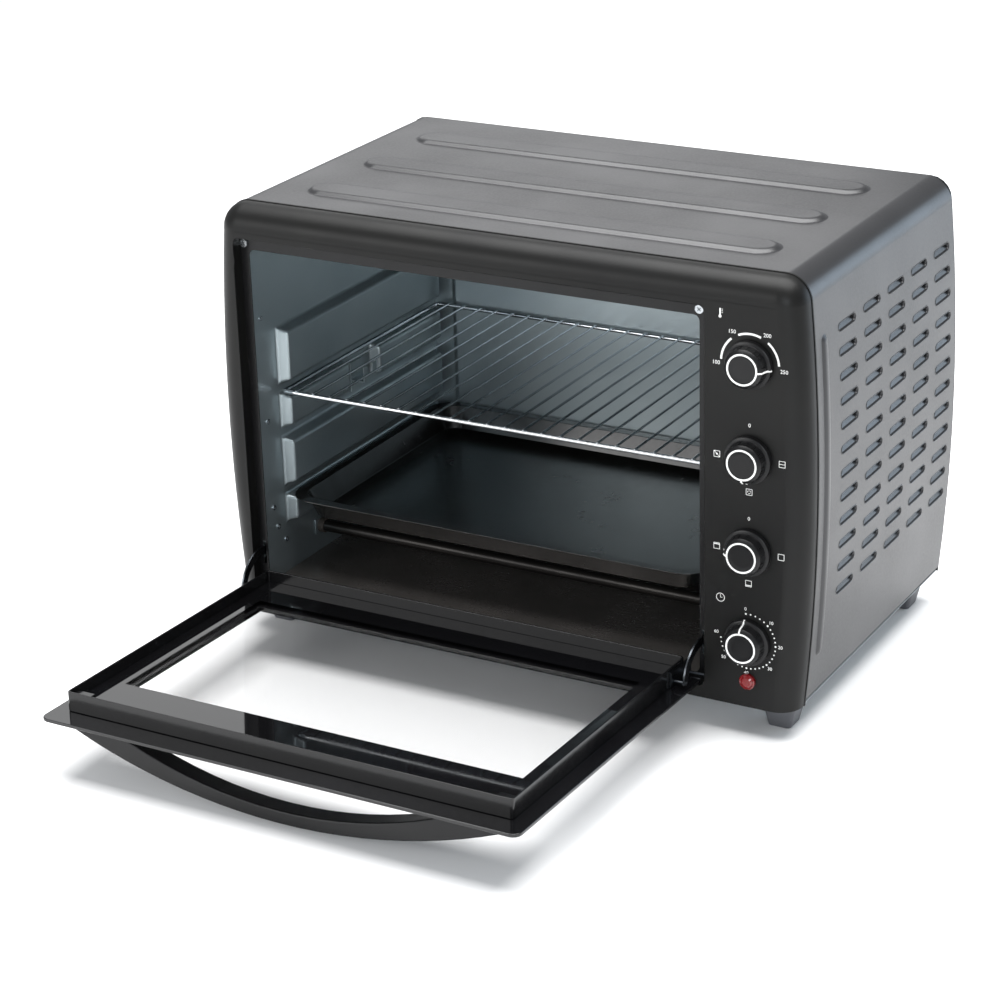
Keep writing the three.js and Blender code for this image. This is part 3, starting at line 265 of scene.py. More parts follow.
def stadium_pressing(name: str, half: float, radius: float, steps: list[tuple[float, float]],
                     tilt: float = 0.0, closed: bool = False, corners: int = 20) -> bpy.types.Object:
    """A long round-ended pressing that lies along X and rises or sinks along Z.

    Args:
        name: The piece's name.
        half: Half its length over the round ends.
        radius: Half its width.
        steps: Each step's pull-in from the outline and its height.
        tilt: How much lower the far (+Y) half of the floor lies.
        closed: Whether the outline is also closed underneath.
        corners: Vertices in the outline.

    Returns:
        The pressing, centred on the origin.
    """
    piece = done(add("circle", vertices=corners, radius=radius), name)
    slack = 0.01 * MM
    for side in (-1, 1):
        pick(piece, Kind.VERT, lambda co: co.x * side > slack)
        bpy.ops.transform.translate(value=(side * (half - radius), 0, 0))
    pick(piece, Kind.VERT, lambda co: True)
    if closed:
        bpy.ops.mesh.edge_face_add()
        bpy.ops.mesh.select_all(action="SELECT")
    pull, height = steps[0]
    bpy.ops.transform.resize(value=((half - pull) / half, (radius - pull) / radius, 1))
    bpy.ops.transform.translate(value=(0, 0, height))
    for next_pull, next_height in steps[1:]:
        grow = ((half - next_pull) / (half - pull), (radius - next_pull) / (radius - pull), 1)
        bpy.ops.mesh.extrude_region_move(
            TRANSFORM_OT_translate={"value": (0, 0, next_height - height)})
        bpy.ops.transform.resize(value=grow)
        pull, height = next_pull, next_height
    if not closed:
        bpy.ops.mesh.edge_face_add()
    if tilt:
        level = height
        pick(piece, Kind.VERT, lambda co: co.y > slack and abs(co.z - level) < slack)
        bpy.ops.transform.translate(value=(0, 0, -tilt))
    activate(piece)
    if max(piece.data.polygons, key=lambda face: face.area).normal.z < 0:
        pick(piece, Kind.FACE, lambda middle, normal: True)
        bpy.ops.mesh.flip_normals()
        activate(piece)
    return piece


# ------------------------------------------------------------------ finishes


def srgb(code: str) -> tuple[float, float, float, float]:
    """A #RRGGBB colour as linear red, green, blue and alpha."""
    def linear(value: float) -> float:
        return value / 12.92 if value <= 0.04045 else ((value + 0.055) / 1.055) ** 2.4
    channels = [int(code[i:i + 2], 16) / 255 for i in (1, 3, 5)]
    return (*[linear(channel) for channel in channels], 1.0)


def add_node(tree: bpy.types.NodeTree, kind: str, inputs: dict | None = None,
             **settings: object) -> bpy.types.Node:
    """Add a shader node.

    Args:
        tree: The material's node tree.
        kind: The node's type.
        inputs: Values or sockets for its inputs, by name or number.
        **settings: Properties of the node itself.

    Returns:
        The new node.
    """
    node = tree.nodes.new(kind)
    for key, value in settings.items():
        setattr(node, key, value)
    for key, value in (inputs or {}).items():
        if isinstance(value, bpy.types.NodeSocket):
            tree.links.new(value, node.inputs[key])
        else:
            node.inputs[key].default_value = value
    return node


_MADE: dict[str, bpy.types.Material] = {}


@dataclass(frozen=True)
class Finish:
    """A surface finish with a grain, slow colour drift and uneven gloss.

    Attributes:
        name: The finish's name.
        colour: Main colour.
        drift: Colour that it wanders towards.
        gloss: Lowest and highest roughness.
        metallic: 1 for bare metal.
        grain: Size of the surface grain in millimetres.
        relief: Height of that grain in millimetres.
        stretch: How the grain is drawn out along X, Y and Z.
        cloud: Size of the slow drift in millimetres.
        coat: Weight of a clear coat.
        specular: Strength of the surface reflection on anything but bare metal.
    """

    name: str
    colour: str
    drift: str
    gloss: tuple[float, float]
    metallic: float = 0.0
    grain: float = 1.0
    relief: float = 0.01
    stretch: Point = (1.0, 1.0, 1.0)
    cloud: float = 60.0
    coat: float = 0.0
    specular: float = 0.5

    def material(self) -> bpy.types.Material:
        """The finish's material, made once."""
        if self.name not in _MADE:
            made = bpy.data.materials.new(self.name)
            made.use_nodes = True
            made.node_tree.nodes.clear()
            self.build(made)
            made.diffuse_color = srgb(self.colour)
            _MADE[self.name] = made
        return _MADE[self.name]

    def shader(self, tree: bpy.types.NodeTree) -> bpy.types.Node:
        """The main shader with its grain, drift and gloss."""
        place = add_node(tree, "ShaderNodeTexCoord")
        drawn = add_node(tree, "ShaderNodeMapping",
                         {"Vector": place.outputs["Object"], "Scale": self.stretch})
        grain = add_node(tree, "ShaderNodeTexNoise", {
            "Vector": drawn.outputs[0], "Scale": 1 / (self.grain * MM), "Detail": 3.0})
        cloud = add_node(tree, "ShaderNodeTexNoise", {
            "Vector": place.outputs["Object"], "Scale": 1 / (self.cloud * MM), "Detail": 2.0})
        blend = add_node(tree, "ShaderNodeMapRange", {
            "Value": cloud.outputs[0], "From Min": 0.35, "From Max": 0.65})
        colour = add_node(tree, "ShaderNodeMix", {
            0: blend.outputs[0], 6: srgb(self.colour), 7: srgb(self.drift)}, data_type="RGBA")
        spread = add_node(tree, "ShaderNodeMath", {
            0: grain.outputs[0], 1: cloud.outputs[0]}, operation="MULTIPLY")
        gloss = add_node(tree, "ShaderNodeMapRange", {
            "Value": spread.outputs[0], "From Min": 0.12, "From Max": 0.42,
            "To Min": self.gloss[0], "To Max": self.gloss[1]})
        bump = add_node(tree, "ShaderNodeBump", {
            "Height": grain.outputs[0], "Distance": self.relief * MM, "Strength": 1.0})
        shader = add_node(tree, "ShaderNodeBsdfPrincipled", {
            "Base Color": colour.outputs[2], "Metallic": self.metallic,
            "Roughness": gloss.outputs[0], "Normal": bump.outputs[0]})
        shader.inputs["Coat Weight"].default_value = self.coat
        shader.inputs["Coat Roughness"].default_value = 0.12
        if self.metallic < 1:
            shader.inputs["Specular IOR Level"].default_value = self.specular
        return shader

    def build(self, made: bpy.types.Material) -> None:
        """Fill in the node tree."""
        tree = made.node_tree
        shader = self.shader(tree)
        add_node(tree, "ShaderNodeOutputMaterial", {"Surface": shader.outputs[0]})


@dataclass(frozen=True)
class PrintedGlass(Finish):
    """Float glass, clear in a window and printed black around it.

    Attributes:
        middle: Centre of the window in X and Y.
        half: Half the window's size in X and Y.
        clear: How much of the glass's own shading the window keeps.
    """

    middle: tuple[float, float] = (0.0, 0.0)
    half: tuple[float, float] = (0.1, 0.1)
    clear: float = 0.06

    def build(self, made: bpy.types.Material) -> None:
        """Print the border and leave the window clear."""
        tree = made.node_tree
        shader = self.shader(tree)
        place = add_node(tree, "ShaderNodeTexCoord")
        axes = add_node(tree, "ShaderNodeSeparateXYZ", {0: place.outputs["Object"]})
        beyond = []
        for axis in (0, 1):
            offset = add_node(tree, "ShaderNodeMath", {
                0: axes.outputs[axis], 1: self.middle[axis]}, operation="SUBTRACT")
            away = add_node(tree, "ShaderNodeMath", {0: offset.outputs[0]}, operation="ABSOLUTE")
            beyond.append(add_node(tree, "ShaderNodeMapRange", {
                "Value": away.outputs[0], "From Min": self.half[axis],
                "From Max": self.half[axis] + 0.4 * MM}))
        border = add_node(tree, "ShaderNodeMath", {
            0: beyond[0].outputs[0], 1: beyond[1].outputs[0]}, operation="MAXIMUM")
        alpha = add_node(tree, "ShaderNodeMapRange", {
            "Value": border.outputs[0], "To Min": self.clear, "To Max": 1.0})
        tree.links.new(alpha.outputs[0], shader.inputs["Alpha"])
        add_node(tree, "ShaderNodeOutputMaterial", {"Surface": shader.outputs[0]})


# Satin stoving paint on pressed steel: a soft sheen with faint orange peel.
CASING_PAINT = Finish("satin_stoving_paint", "#29292b", "#232325", (0.30, 0.38), metallic=0.2,
                      grain=2.2, relief=0.010, cloud=90, specular=0.65)
# Moulded ABS with a fine spark texture: nearly black, with a broad dull highlight.
FRAME_ABS = Finish("moulded_black_abs", "#121211", "#0f0f0f", (0.38, 0.48), grain=0.7,
                   relief=0.012, cloud=70, specular=0.2)
# Semi-gloss black paint on the flange behind the door.
FLANGE_PAINT = Finish("semi_gloss_black_paint", "#161617", "#111112", (0.30, 0.38),
                      grain=1.8, relief=0.01, specular=0.25)
# Hot-dip aluminised steel: cool blue-grey with a soft rolled streak.
ALUMINISED = Finish("aluminised_steel", "#a3adb0", "#98a3a7", (0.30, 0.42), metallic=0.8,
                    grain=1.4, relief=0.005, stretch=(1.0, 0.12, 1.0), cloud=120)
# The cavity floor is the same sheet as the walls, with painted shade: its colour is darker and warmer
# than theirs, and its metal gives a soft reflection of what stands over it.
FLOOR_PAINTED_SHADE = Finish("rolled_steel_painted_shade", "#85807d", "#75716e", (0.26, 0.34), metallic=0.8,
                      grain=1.2, relief=0.004, stretch=(0.15, 1.0, 1.0), cloud=50)
# Nickel-chrome plate on drawn wire.
CHROME = Finish("nickel_chrome_plate", "#c3c6c9", "#aeb1b5", (0.08, 0.16), metallic=1.0,
                grain=3.0, relief=0.003)
# Vitreous enamel: glassy black with a faint ripple.
ENAMEL = Finish("vitreous_black_enamel", "#0c0c0b", "#121110", (0.20, 0.28), grain=9.0,
                relief=0.003, coat=0.1, specular=0.35)
# Bright zinc plate on small hardware.
ZINC = Finish("bright_zinc_plate", "#b4b8bb", "#9fa4a8", (0.22, 0.34), metallic=1.0, grain=0.8,
              relief=0.006)
# Dark passivated zinc on the door's arms and hinges.
DARK_ZINC = Finish("dark_passivated_zinc", "#5b5f63", "#45484c", (0.24, 0.34), metallic=1.0,
                   grain=0.8, relief=0.006)
# Galvanised sheet on hidden brackets and the base.
GALVANISED = Finish("galvanised_sheet", "#8f9698", "#7b8285", (0.35, 0.5), metallic=0.9,
                    grain=5.0, relief=0.01)
# Satin black ABS of the knobs and handle.
KNOB_ABS = Finish("satin_black_abs", "#141415", "#101011", (0.28, 0.38), grain=0.8,
                  relief=0.006, specular=0.25)
# Gloss black ABS of the door's inner frame.
GLOSS_ABS = Finish("gloss_black_abs", "#0d0d0e", "#131314", (0.12, 0.22), grain=5.0,
                   relief=0.004, coat=0.15, specular=0.3)
# Glass-filled nylon of the feet.
FOOT_NYLON = Finish("glass_filled_nylon", "#55565a", "#48494c", (0.5, 0.62), grain=0.9,
                    relief=0.02)
# Screen-printed epoxy ink: opaque warm white, slightly matt.
WHITE_INK = Finish("screen_printed_white_ink", "#f2f2f0", "#e4e4e2", (0.45, 0.6), grain=0.5,
                   relief=0.004)
# Clear red acrylic of the pilot lamp.
RED_ACRYLIC = Finish("clear_red_acrylic", "#7d0a10", "#5a070c", (0.04, 0.1), grain=4.0,
                     relief=0.01, coat=0.4)
# Oxidised stainless sheath of the heating rods.
SHEATH = Finish("oxidised_stainless_sheath", "#2b2927", "#232120", (0.32, 0.45), metallic=0.7,
                grain=1.0, relief=0.01)
# Steatite ceramic with a brown glaze.
STEATITE = Finish("brown_glazed_steatite", "#3d3833", "#332f2b", (0.55, 0.7), grain=0.8, relief=0.02)
# Neoprene rubber.
NEOPRENE = Finish("black_neoprene", "#19191a", "#131314", (0.6, 0.75), grain=0.6, relief=0.02)
# Free-cutting brass.
BRASS = Finish("free_cutting_brass", "#b18e54", "#9a7a45", (0.28, 0.4), metallic=1.0, grain=0.7,
               relief=0.006)
# Pale seamless backdrop.
BACKDROP = Finish("pale_matt_backdrop", "#fbfbfb", "#f8f8f8", (0.8, 0.9), grain=20, relief=0.0,
                  cloud=900)


# ------------------------------------------------------------------ casing


@dataclass
class BulgedBox:
    """A box whose sides bulge in a flat arc, with rounded top corners.

    Attributes:
        half_width: Half the width at the widest level.
        level: Height of the widest level.
        radius: Radius of the bulge.
        low: Lowest height.
        high: Highest height.
        corner: Radius between the sides and the top.
    """

    half_width: float
    level: float
    radius: float
    low: float
    high: float
    corner: float

    def reach(self, z: float) -> float:
        """Half the width at a height."""
        return self.half_width - (z - self.level) ** 2 / (2 * self.radius)

    def slope(self, z: float) -> float:
        """How far the side leans in for each metre of height."""
        return (z - self.level) / self.radius

    def block(self, name: str, front: float, back: float, inset: float = 0.0,
              rounding: float = 0.0, cuts: int = 18) -> bpy.types.Object:
        """A solid block of this outline.

        Args:
            name: The piece's name.
            front: Y of its front face.
            back: Y of its back face.
            inset: How far every face but the back is pulled in.
            rounding: Radius around the front face.
            cuts: Level cuts that let the sides bulge.

        Returns:
            The block.
        """
        wide = self.half_width - inset
        low, high = self.low + inset, self.high - inset
        piece = cube(name, (-wide, front, low), (wide, back, high))
        levels = [low + (high - low) * i / cuts for i in range(1, cuts)]
        for level in levels:
            pick(piece, Kind.FACE, lambda middle, normal: True)
            bpy.ops.mesh.bisect(plane_co=(0, 0, level), plane_no=(0, 0, 1))
        for level in [low, *levels, high]:
            pick(piece, Kind.VERT, lambda co: abs(co.z - level) < 0.1 * MM)
            bpy.ops.transform.resize(value=((self.reach(level) - inset) / wide, 1, 1),
                                     center_override=(0, 0, level))
        pick(piece, Kind.FACE, lambda middle, normal: abs(normal.y) > 0.9)
        bpy.ops.mesh.dissolve_limited(angle_limit=math.radians(0.05))
        edge = self.reach(high) - inset
        pick(piece, Kind.EDGE, lambda a, b: min(a.z, b.z) > high - 0.1 * MM
             and min(abs(a.x), abs(b.x)) > edge - MM and a.x * b.x > 0)
        bpy.ops.mesh.bevel(offset=self.corner - inset, segments=10, affect="EDGES")
        if rounding:
            pick(piece, Kind.EDGE, lambda a, b: max(a.y, b.y) < front + 0.1 * MM
                 and min(a.z, b.z) > low + 0.1 * MM or (max(a.y, b.y) < front + 0.1 * MM
                                                        and abs(a.z - b.z) > MM))
            bpy.ops.mesh.bevel(offset=rounding, segments=9, affect="EDGES")
        activate(piece)
        return piece


@dataclass
class Casing:
    """The painted wrap-around cover, its louvres, rear cover, base and feet."""

    sheet: float = 0.8 * MM
    bulge_radius: float = 1.78
    bulge_level: float = 0.21
    corner: float = 20 * MM
    widest: float = 0.564
    rib_length: float = 446.6 * MM
    rib_width: float = 36 * MM
    rib_rise: float = 3 * MM
    rib_pitch: float = 92.3 * MM
    rib_middle: float = -7.8 * MM
    louvre_half: float = 17.5 * MM
    louvre_radius: float = 3.4 * MM
    louvre_depth: float = 2.6 * MM
    columns: int = 5
    rows: int = 12
    column_pitch: float = 52.7 * MM
    row_pitch: float = 20.9 * MM
    top_margin: float = 57 * MM
    louvre_middle: float = 17 * MM
    rear_screw_radius: float = 4 * MM
    rear_screws: tuple[tuple[float, float], ...] = (
        (-0.24, 0.37), (0.24, 0.37), (-0.255, 0.21), (0.255, 0.21), (-0.25, 0.05), (0.25, 0.05),
        (0, 0.37), (0, 0.05))
    bead_half: float = 5.5 * MM
    bead_rise: float = 1.9 * MM
    bead_foot: float = 67 * MM
    bead_behind: float = 17 * MM
    bead_cuts: int = 14
    shape: BulgedBox = field(init=False)

    def __post_init__(self) -> None:
        low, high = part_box("outer_cover")
        self.front, self.back = low[1], high[1]
        self.middle_y = (low[1] + high[1]) / 2
        self.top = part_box("front_fascia")[1][2]
        self.shape = BulgedBox(self.widest / 2, self.bulge_level, self.bulge_radius, low[2],
                               self.top, self.corner)

    def build(self) -> None:
        """Model and dress the whole casing."""
        self.cover()
        self.rear()
        self.base()
        self.feet()

    def on_side(self, sign: int, y: float, z: float) -> Matrix:
        """Places a pressing drawn in plan on a side wall, its length along Y."""
        lean = math.atan(self.shape.slope(z))
        out = Vector((sign * math.cos(lean), 0, math.sin(lean)))
        along = Vector((0, sign, 0))
        up = out.cross(along)
        turn = Matrix((along, up, out)).transposed().to_4x4()
        return Matrix.Translation((sign * self.shape.reach(z), y, z)) @ turn

    def louvre_places(self) -> list[tuple[float, float]]:
        """Y and Z of every louvre on one side."""
        first = self.middle_y + self.louvre_middle - (self.columns - 1) / 2 * self.column_pitch
        return [(first + column * self.column_pitch, self.top - self.top_margin - row * self.row_pitch)
                for column in range(self.columns) for row in range(self.rows)]

    def cover(self) -> None:
        """The wrap-around cover with its louvres, ribs and side beads."""
        margin = 20 * MM
        shell = self.shape.block("cover_sheet", self.front, self.back)
        hollow = self.shape.block("cover_hollow", self.front - margin, self.back + margin,
                                  inset=self.sheet)
        pick(hollow, Kind.VERT, lambda co: co.z < self.shape.low + 2 * MM)
        bpy.ops.transform.translate(value=(0, 0, -margin))
        cut(shell, hollow)
        slot = stadium_pressing("slot", self.louvre_half, self.louvre_radius, [(0, -0.32), (0, 0.32)],
                                closed=True, corners=16)
        across = Matrix(((0, 0, 1), (1, 0, 0), (0, 1, 0))).to_4x4()
        slots = [clone(slot, Matrix.Translation((0, y, z)) @ across, "slot_copy")
                 for y, z in self.louvre_places()]
        bpy.data.objects.remove(slot)
        tool = join("slots", slots)
        pick(tool, Kind.FACE, lambda middle, normal: True)
        bpy.ops.mesh.normals_make_consistent(inside=False)
        cut(shell, tool)
        dress(shell, CASING_PAINT, stands_for=["outer_cover"], angle=30)
        self.louvres()
        self.ribs()
        self.beads()

    def louvres(self) -> None:
        """The pressed-in pockets of both sides."""
        lip = 0.9 * MM
        pocket = stadium_pressing(
            "pocket", self.louvre_half + lip, self.louvre_radius + lip,
            [(0, 0.05 * MM), (0.35 * MM, 0.3 * MM), (0.9 * MM, 0.05 * MM), (1.3 * MM, -1.0 * MM),
             (1.6 * MM, -1.6 * MM)], tilt=self.louvre_depth)
        for sign, side in ((-1, "left"), (1, "right")):
            copies = [clone(pocket, self.on_side(sign, y, z), "pocket_copy")
                      for y, z in self.louvre_places()]
            dress(join(f"louvres_{side}", copies), CASING_PAINT, angle=50)
        bpy.data.objects.remove(pocket)

    def ribs(self) -> None:
        """Three raised stiffening ribs along the top."""
        rib = stadium_pressing(
            "rib", self.rib_length / 2, self.rib_width / 2,
            [(-1.5 * MM, -0.1 * MM), (0, 0.12 * MM), (1.2 * MM, 0.9 * MM), (2.6 * MM, 2.1 * MM),
             (4.2 * MM, 2.8 * MM), (6.2 * MM, self.rib_rise)], corners=48, closed=True)
        copies = [clone(rib, Matrix.Translation((0, self.middle_y + self.rib_middle
                                                 + k * self.rib_pitch, self.top)), "rib_copy")
                  for k in (-1, 0, 1)]
        bpy.data.objects.remove(rib)
        dress(join("top_ribs", copies), CASING_PAINT, angle=50)

    def beads(self) -> None:
        """A raised bead down each side, close behind the front seam."""
        low, high = self.bead_foot, self.top - self.top_margin + 4 * MM
        middle = (low + high) / 2
        for sign, side in ((-1, "left"), (1, "right")):
            bead = stadium_pressing(
                f"side_bead_{side}", (high - low) / 2, self.bead_half,
                [(-1 * MM, -0.3 * MM), (0, 0.1 * MM), (1.3 * MM, 0.9 * MM), (2.6 * MM, 1.6 * MM),
                 (4.2 * MM, self.bead_rise)], corners=24, closed=True)
            for k in range(1, self.bead_cuts):
                pick(bead, Kind.FACE, lambda co, normal: True)
                bpy.ops.mesh.bisect(
                    plane_co=(-(high - low) / 2 + k * (high - low) / self.bead_cuts, 0, 0),
                    plane_no=(1, 0, 0))
            activate(bead)
            for vertex in bead.data.vertices:
                z = middle + vertex.co.x
                rise = vertex.co.z
                vertex.co = (sign * (self.shape.reach(z) + rise),
                             self.front + self.bead_behind + sign * vertex.co.y, z)
            pick(bead, Kind.FACE, lambda middle_point, normal: True)
            bpy.ops.mesh.normals_make_consistent(inside=False)
            dress(bead, CASING_PAINT, angle=50)

    def rear(self) -> None:
        """The rear cover with softened slots and its screws."""
        plate = merged_copy("rear_cover", "rear_panel")
        soften(plate, 0.3 * MM, 2)
        dress(plate, CASING_PAINT, stands_for=["rear_cover"])
        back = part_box("rear_cover")[1][1]
        screws = [cross_screw("rear_screw", (x, back + 0.2 * MM, z), (0, 1, 0), self.rear_screw_radius)
                  for x, z in self.rear_screws]
        dress(join("rear_screws", screws), ZINC)

    def base(self) -> None:
        """The base pan with softened slots."""
        pan = merged_copy("base_pan", "base_sheet")
        soften(pan, 0.25 * MM, 2)
        dress(pan, GALVANISED, stands_for=["base_pan"])

    def feet(self) -> None:
        """Four tapered feet with rounded edges."""
        for row in ("front", "rear"):
            for side in ("left", "right"):
                node = f"foot_{row}_{side}"
                foot = merged_copy(node, f"{node}_moulding")
                soften(foot, 1.2 * MM, 3, angle=25)
                dress(foot, FOOT_NYLON, stands_for=[node])


def cross_screw(name: str, place: Iterable[float], out: Iterable[float],
                radius: float) -> bpy.types.Object:
    """A pan-head screw with a cross recess.

    Args:
        name: The piece's name.
        place: Centre of the seat under the head.
        out: Direction that the head faces.
        radius: Radius of the head.

    Returns:
        The screw head.
    """
    place, out = Vector(place), Vector(out).normalized()
    rise = radius * 0.55
    head = rod(name, place, place + out * rise, radius, 24)
    pick(head, Kind.FACE, lambda middle, normal: normal.dot(out) > 0.9)
    bpy.ops.mesh.inset(thickness=radius * 0.12, depth=0)
    bpy.ops.mesh.bevel(offset=radius * 0.2, segments=3, affect="EDGES")
    side = out.orthogonal().normalized()
    for direction in (side, out.cross(side)):
        start, end = (place + out * (rise * 0.75) + direction * (radius * 0.55 * sign)
                      for sign in (-1, 1))
        cut(head, rod("recess", start, end, radius * 0.14, 4),
            rod("recess_mouth", start + out * rise * 0.3, end + out * rise * 0.3,
                radius * 0.14, 4))
    return head


# ------------------------------------------------------------------ front frame


@dataclass
class FrontFrame:
    """The moulded front frame with its door recess and control strip."""

    wall: float = 2.5 * MM
    left: float = 25.6 * MM
    top: float = 28.4 * MM
    bottom: float = 10.5 * MM
    strip: float = 90.2 * MM
    recess: float = 12 * MM
    recess_corner: float = 6 * MM
    rounding: float = 20 * MM
    shaft_hole: float = 5 * MM
    lamp_hole: float = 6.3 * MM
    casing: Casing = field(default_factory=Casing)

    def build(self) -> None:
        """Model and dress the front frame."""
        low, high = (Vector(corner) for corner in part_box("front_fascia"))
        shape = self.casing.shape
        self.front = low.y
        opening_low = Vector((-shape.half_width + self.left, 0, low.z + self.bottom))
        opening_high = Vector((shape.half_width - self.strip, 0, high.z - self.top))
        shell = shape.block("front_frame", low.y, high.y, rounding=self.rounding)
        margin = 20 * MM
        hollow = shape.block("frame_hollow", low.y + self.wall, high.y + margin, inset=self.wall,
                             rounding=self.rounding - self.wall)
        cut(shell, hollow)
        sleeve = self.tunnel(opening_low, opening_high, self.wall, low.y + self.wall / 2,
                             low.y + self.recess)
        cut(shell, sleeve, operation="UNION")
        cut(shell, self.tunnel(opening_low, opening_high, 0, low.y - margin, high.y + margin))
        for name in ("temperature", "function", "selector", "timer"):
            middle = centre(f"knob_{name}")
            cut(shell, rod("hole", (middle.x, low.y - margin, middle.z),
                           (middle.x, low.y + margin, middle.z), self.shaft_hole))
        lamp = centre("pilot_lamp_lens")
        cut(shell, rod("hole", (lamp.x, low.y - margin, lamp.z), (lamp.x, low.y + margin, lamp.z),
                       self.lamp_hole))
        pick(shell, Kind.EDGE, lambda a, b: max(a.y, b.y) < low.y + 0.01 * MM
             and self.near(a, opening_low, opening_high) and self.near(b, opening_low, opening_high))
        bpy.ops.mesh.bevel(offset=1.0 * MM, segments=3, affect="EDGES")
        dress(shell, FRAME_ABS, stands_for=["front_fascia"], angle=32)
        self.seam(shape, high.y)

    def near(self, place: Vector, low: Vector, high: Vector) -> bool:
        """Whether a point lies on the rim of the door recess."""
        slack = 0.05 * MM
        return (low.x - slack < place.x < high.x + slack and low.z - slack < place.z < high.z + slack)

    def tunnel(self, low: Vector, high: Vector, grow: float, front: float,
               back: float) -> bpy.types.Object:
        """A rounded block that runs through the frame along Y."""
        block = cube("tunnel", (low.x - grow, front, low.z - grow), (high.x + grow, back, high.z + grow))
        pick(block, Kind.EDGE, lambda a, b: abs(a.y - b.y) > MM)
        bpy.ops.mesh.bevel(offset=self.recess_corner + grow, segments=6, affect="EDGES")
        activate(block)
        return block

    def seam(self, shape: BulgedBox, back: float) -> None:
        """The low raised lip around the frame's rear edge, next to the cover."""
        rise = 0.7 * MM
        lip = shape.block("frame_lip", back - 2.2 * MM, back - 0.1 * MM)
        pick(lip, Kind.FACE, lambda middle, normal: abs(normal.y) > 0.9)
        bpy.ops.mesh.delete(type="FACE")
        activate(lip)
        apply_modifier(lip, "SOLIDIFY", thickness=rise, offset=0.9)
        soften(lip, 0.3 * MM, 2, angle=50)
        dress(lip, FRAME_ABS, angle=40)


# ------------------------------------------------------------------ cavity


def pressed_panel(name: str, low: Iterable[float], high: Iterable[float], out: Iterable[float],
                  pressings: list[tuple[float, float, float, float, float]], slope: float,
                  sheet: float, bend: float) -> bpy.types.Object:
    """A sheet panel with flat-topped pressings.

    Args:
        name: The piece's name.
        low: Lowest corner of the flat panel.
        high: Highest corner; it equals low along the panel's thickness.
        out: Direction in which the pressings stand.
        pressings: Two limits along the panel's first axis, two along its second, and a rise.
        slope: How much each side of a pressing leans in.
        sheet: Thickness of the sheet.
        bend: Radius of the bends.

    Returns:
        The panel, with its visible side facing out.
    """
    low, high, out = Vector(low), Vector(high), Vector(out)
    thin = max(range(3), key=lambda axis: abs(out[axis]))
    first, second = (axis for axis in range(3) if axis != thin)
    piece = done(add("plane", size=1), name)
    size = high - low
    axes = Matrix.Identity(3)
    along, across = axes[first].copy(), axes[second].copy()
    if along.cross(across).dot(out) < 0:
        along, across = across, along
    turn = Matrix((along, across, out)).transposed().to_4x4()
    span = Vector((abs(size.dot(along)), abs(size.dot(across)), 1))
    piece.data.transform(Matrix.Translation((low + high) / 2) @ turn @ Matrix.Diagonal(span.to_4d()))
    stops = {first: set(), second: set()}
    for a0, a1, b0, b1, _ in pressings:
        stops[first] |= {a0, a1}
        stops[second] |= {b0, b1}
    for axis, values in stops.items():
        for value in sorted(values):
            if low[axis] + 0.1 * MM < value < high[axis] - 0.1 * MM:
                pick(piece, Kind.FACE, lambda middle, normal: True)
                bpy.ops.mesh.bisect(plane_co=axes[axis] * value, plane_no=axes[axis])
    for a0, a1, b0, b1, rise in pressings:
        pick(piece, Kind.FACE, lambda middle, normal: a0 < middle[first] < a1
             and b0 < middle[second] < b1 and abs((middle - low).dot(out)) < 0.01 * MM)
        bpy.ops.mesh.extrude_region_move(TRANSFORM_OT_translate={"value": out * rise})
        grow = Vector((1, 1, 1))
        grow[first] = 1 - 2 * slope / (a1 - a0)
        grow[second] = 1 - 2 * slope / (b1 - b0)
        pivot = Vector((0, 0, 0))
        pivot[first], pivot[second] = (a0 + a1) / 2, (b0 + b1) / 2
        bpy.ops.transform.resize(value=grow, center_override=pivot)
    pick(piece, Kind.FACE, lambda middle, normal: True)
    bpy.ops.mesh.dissolve_limited(angle_limit=math.radians(0.5))
    soften(piece, bend, 4, angle=15)
    apply_modifier(piece, "SOLIDIFY", thickness=sheet, offset=-1)
    return piece


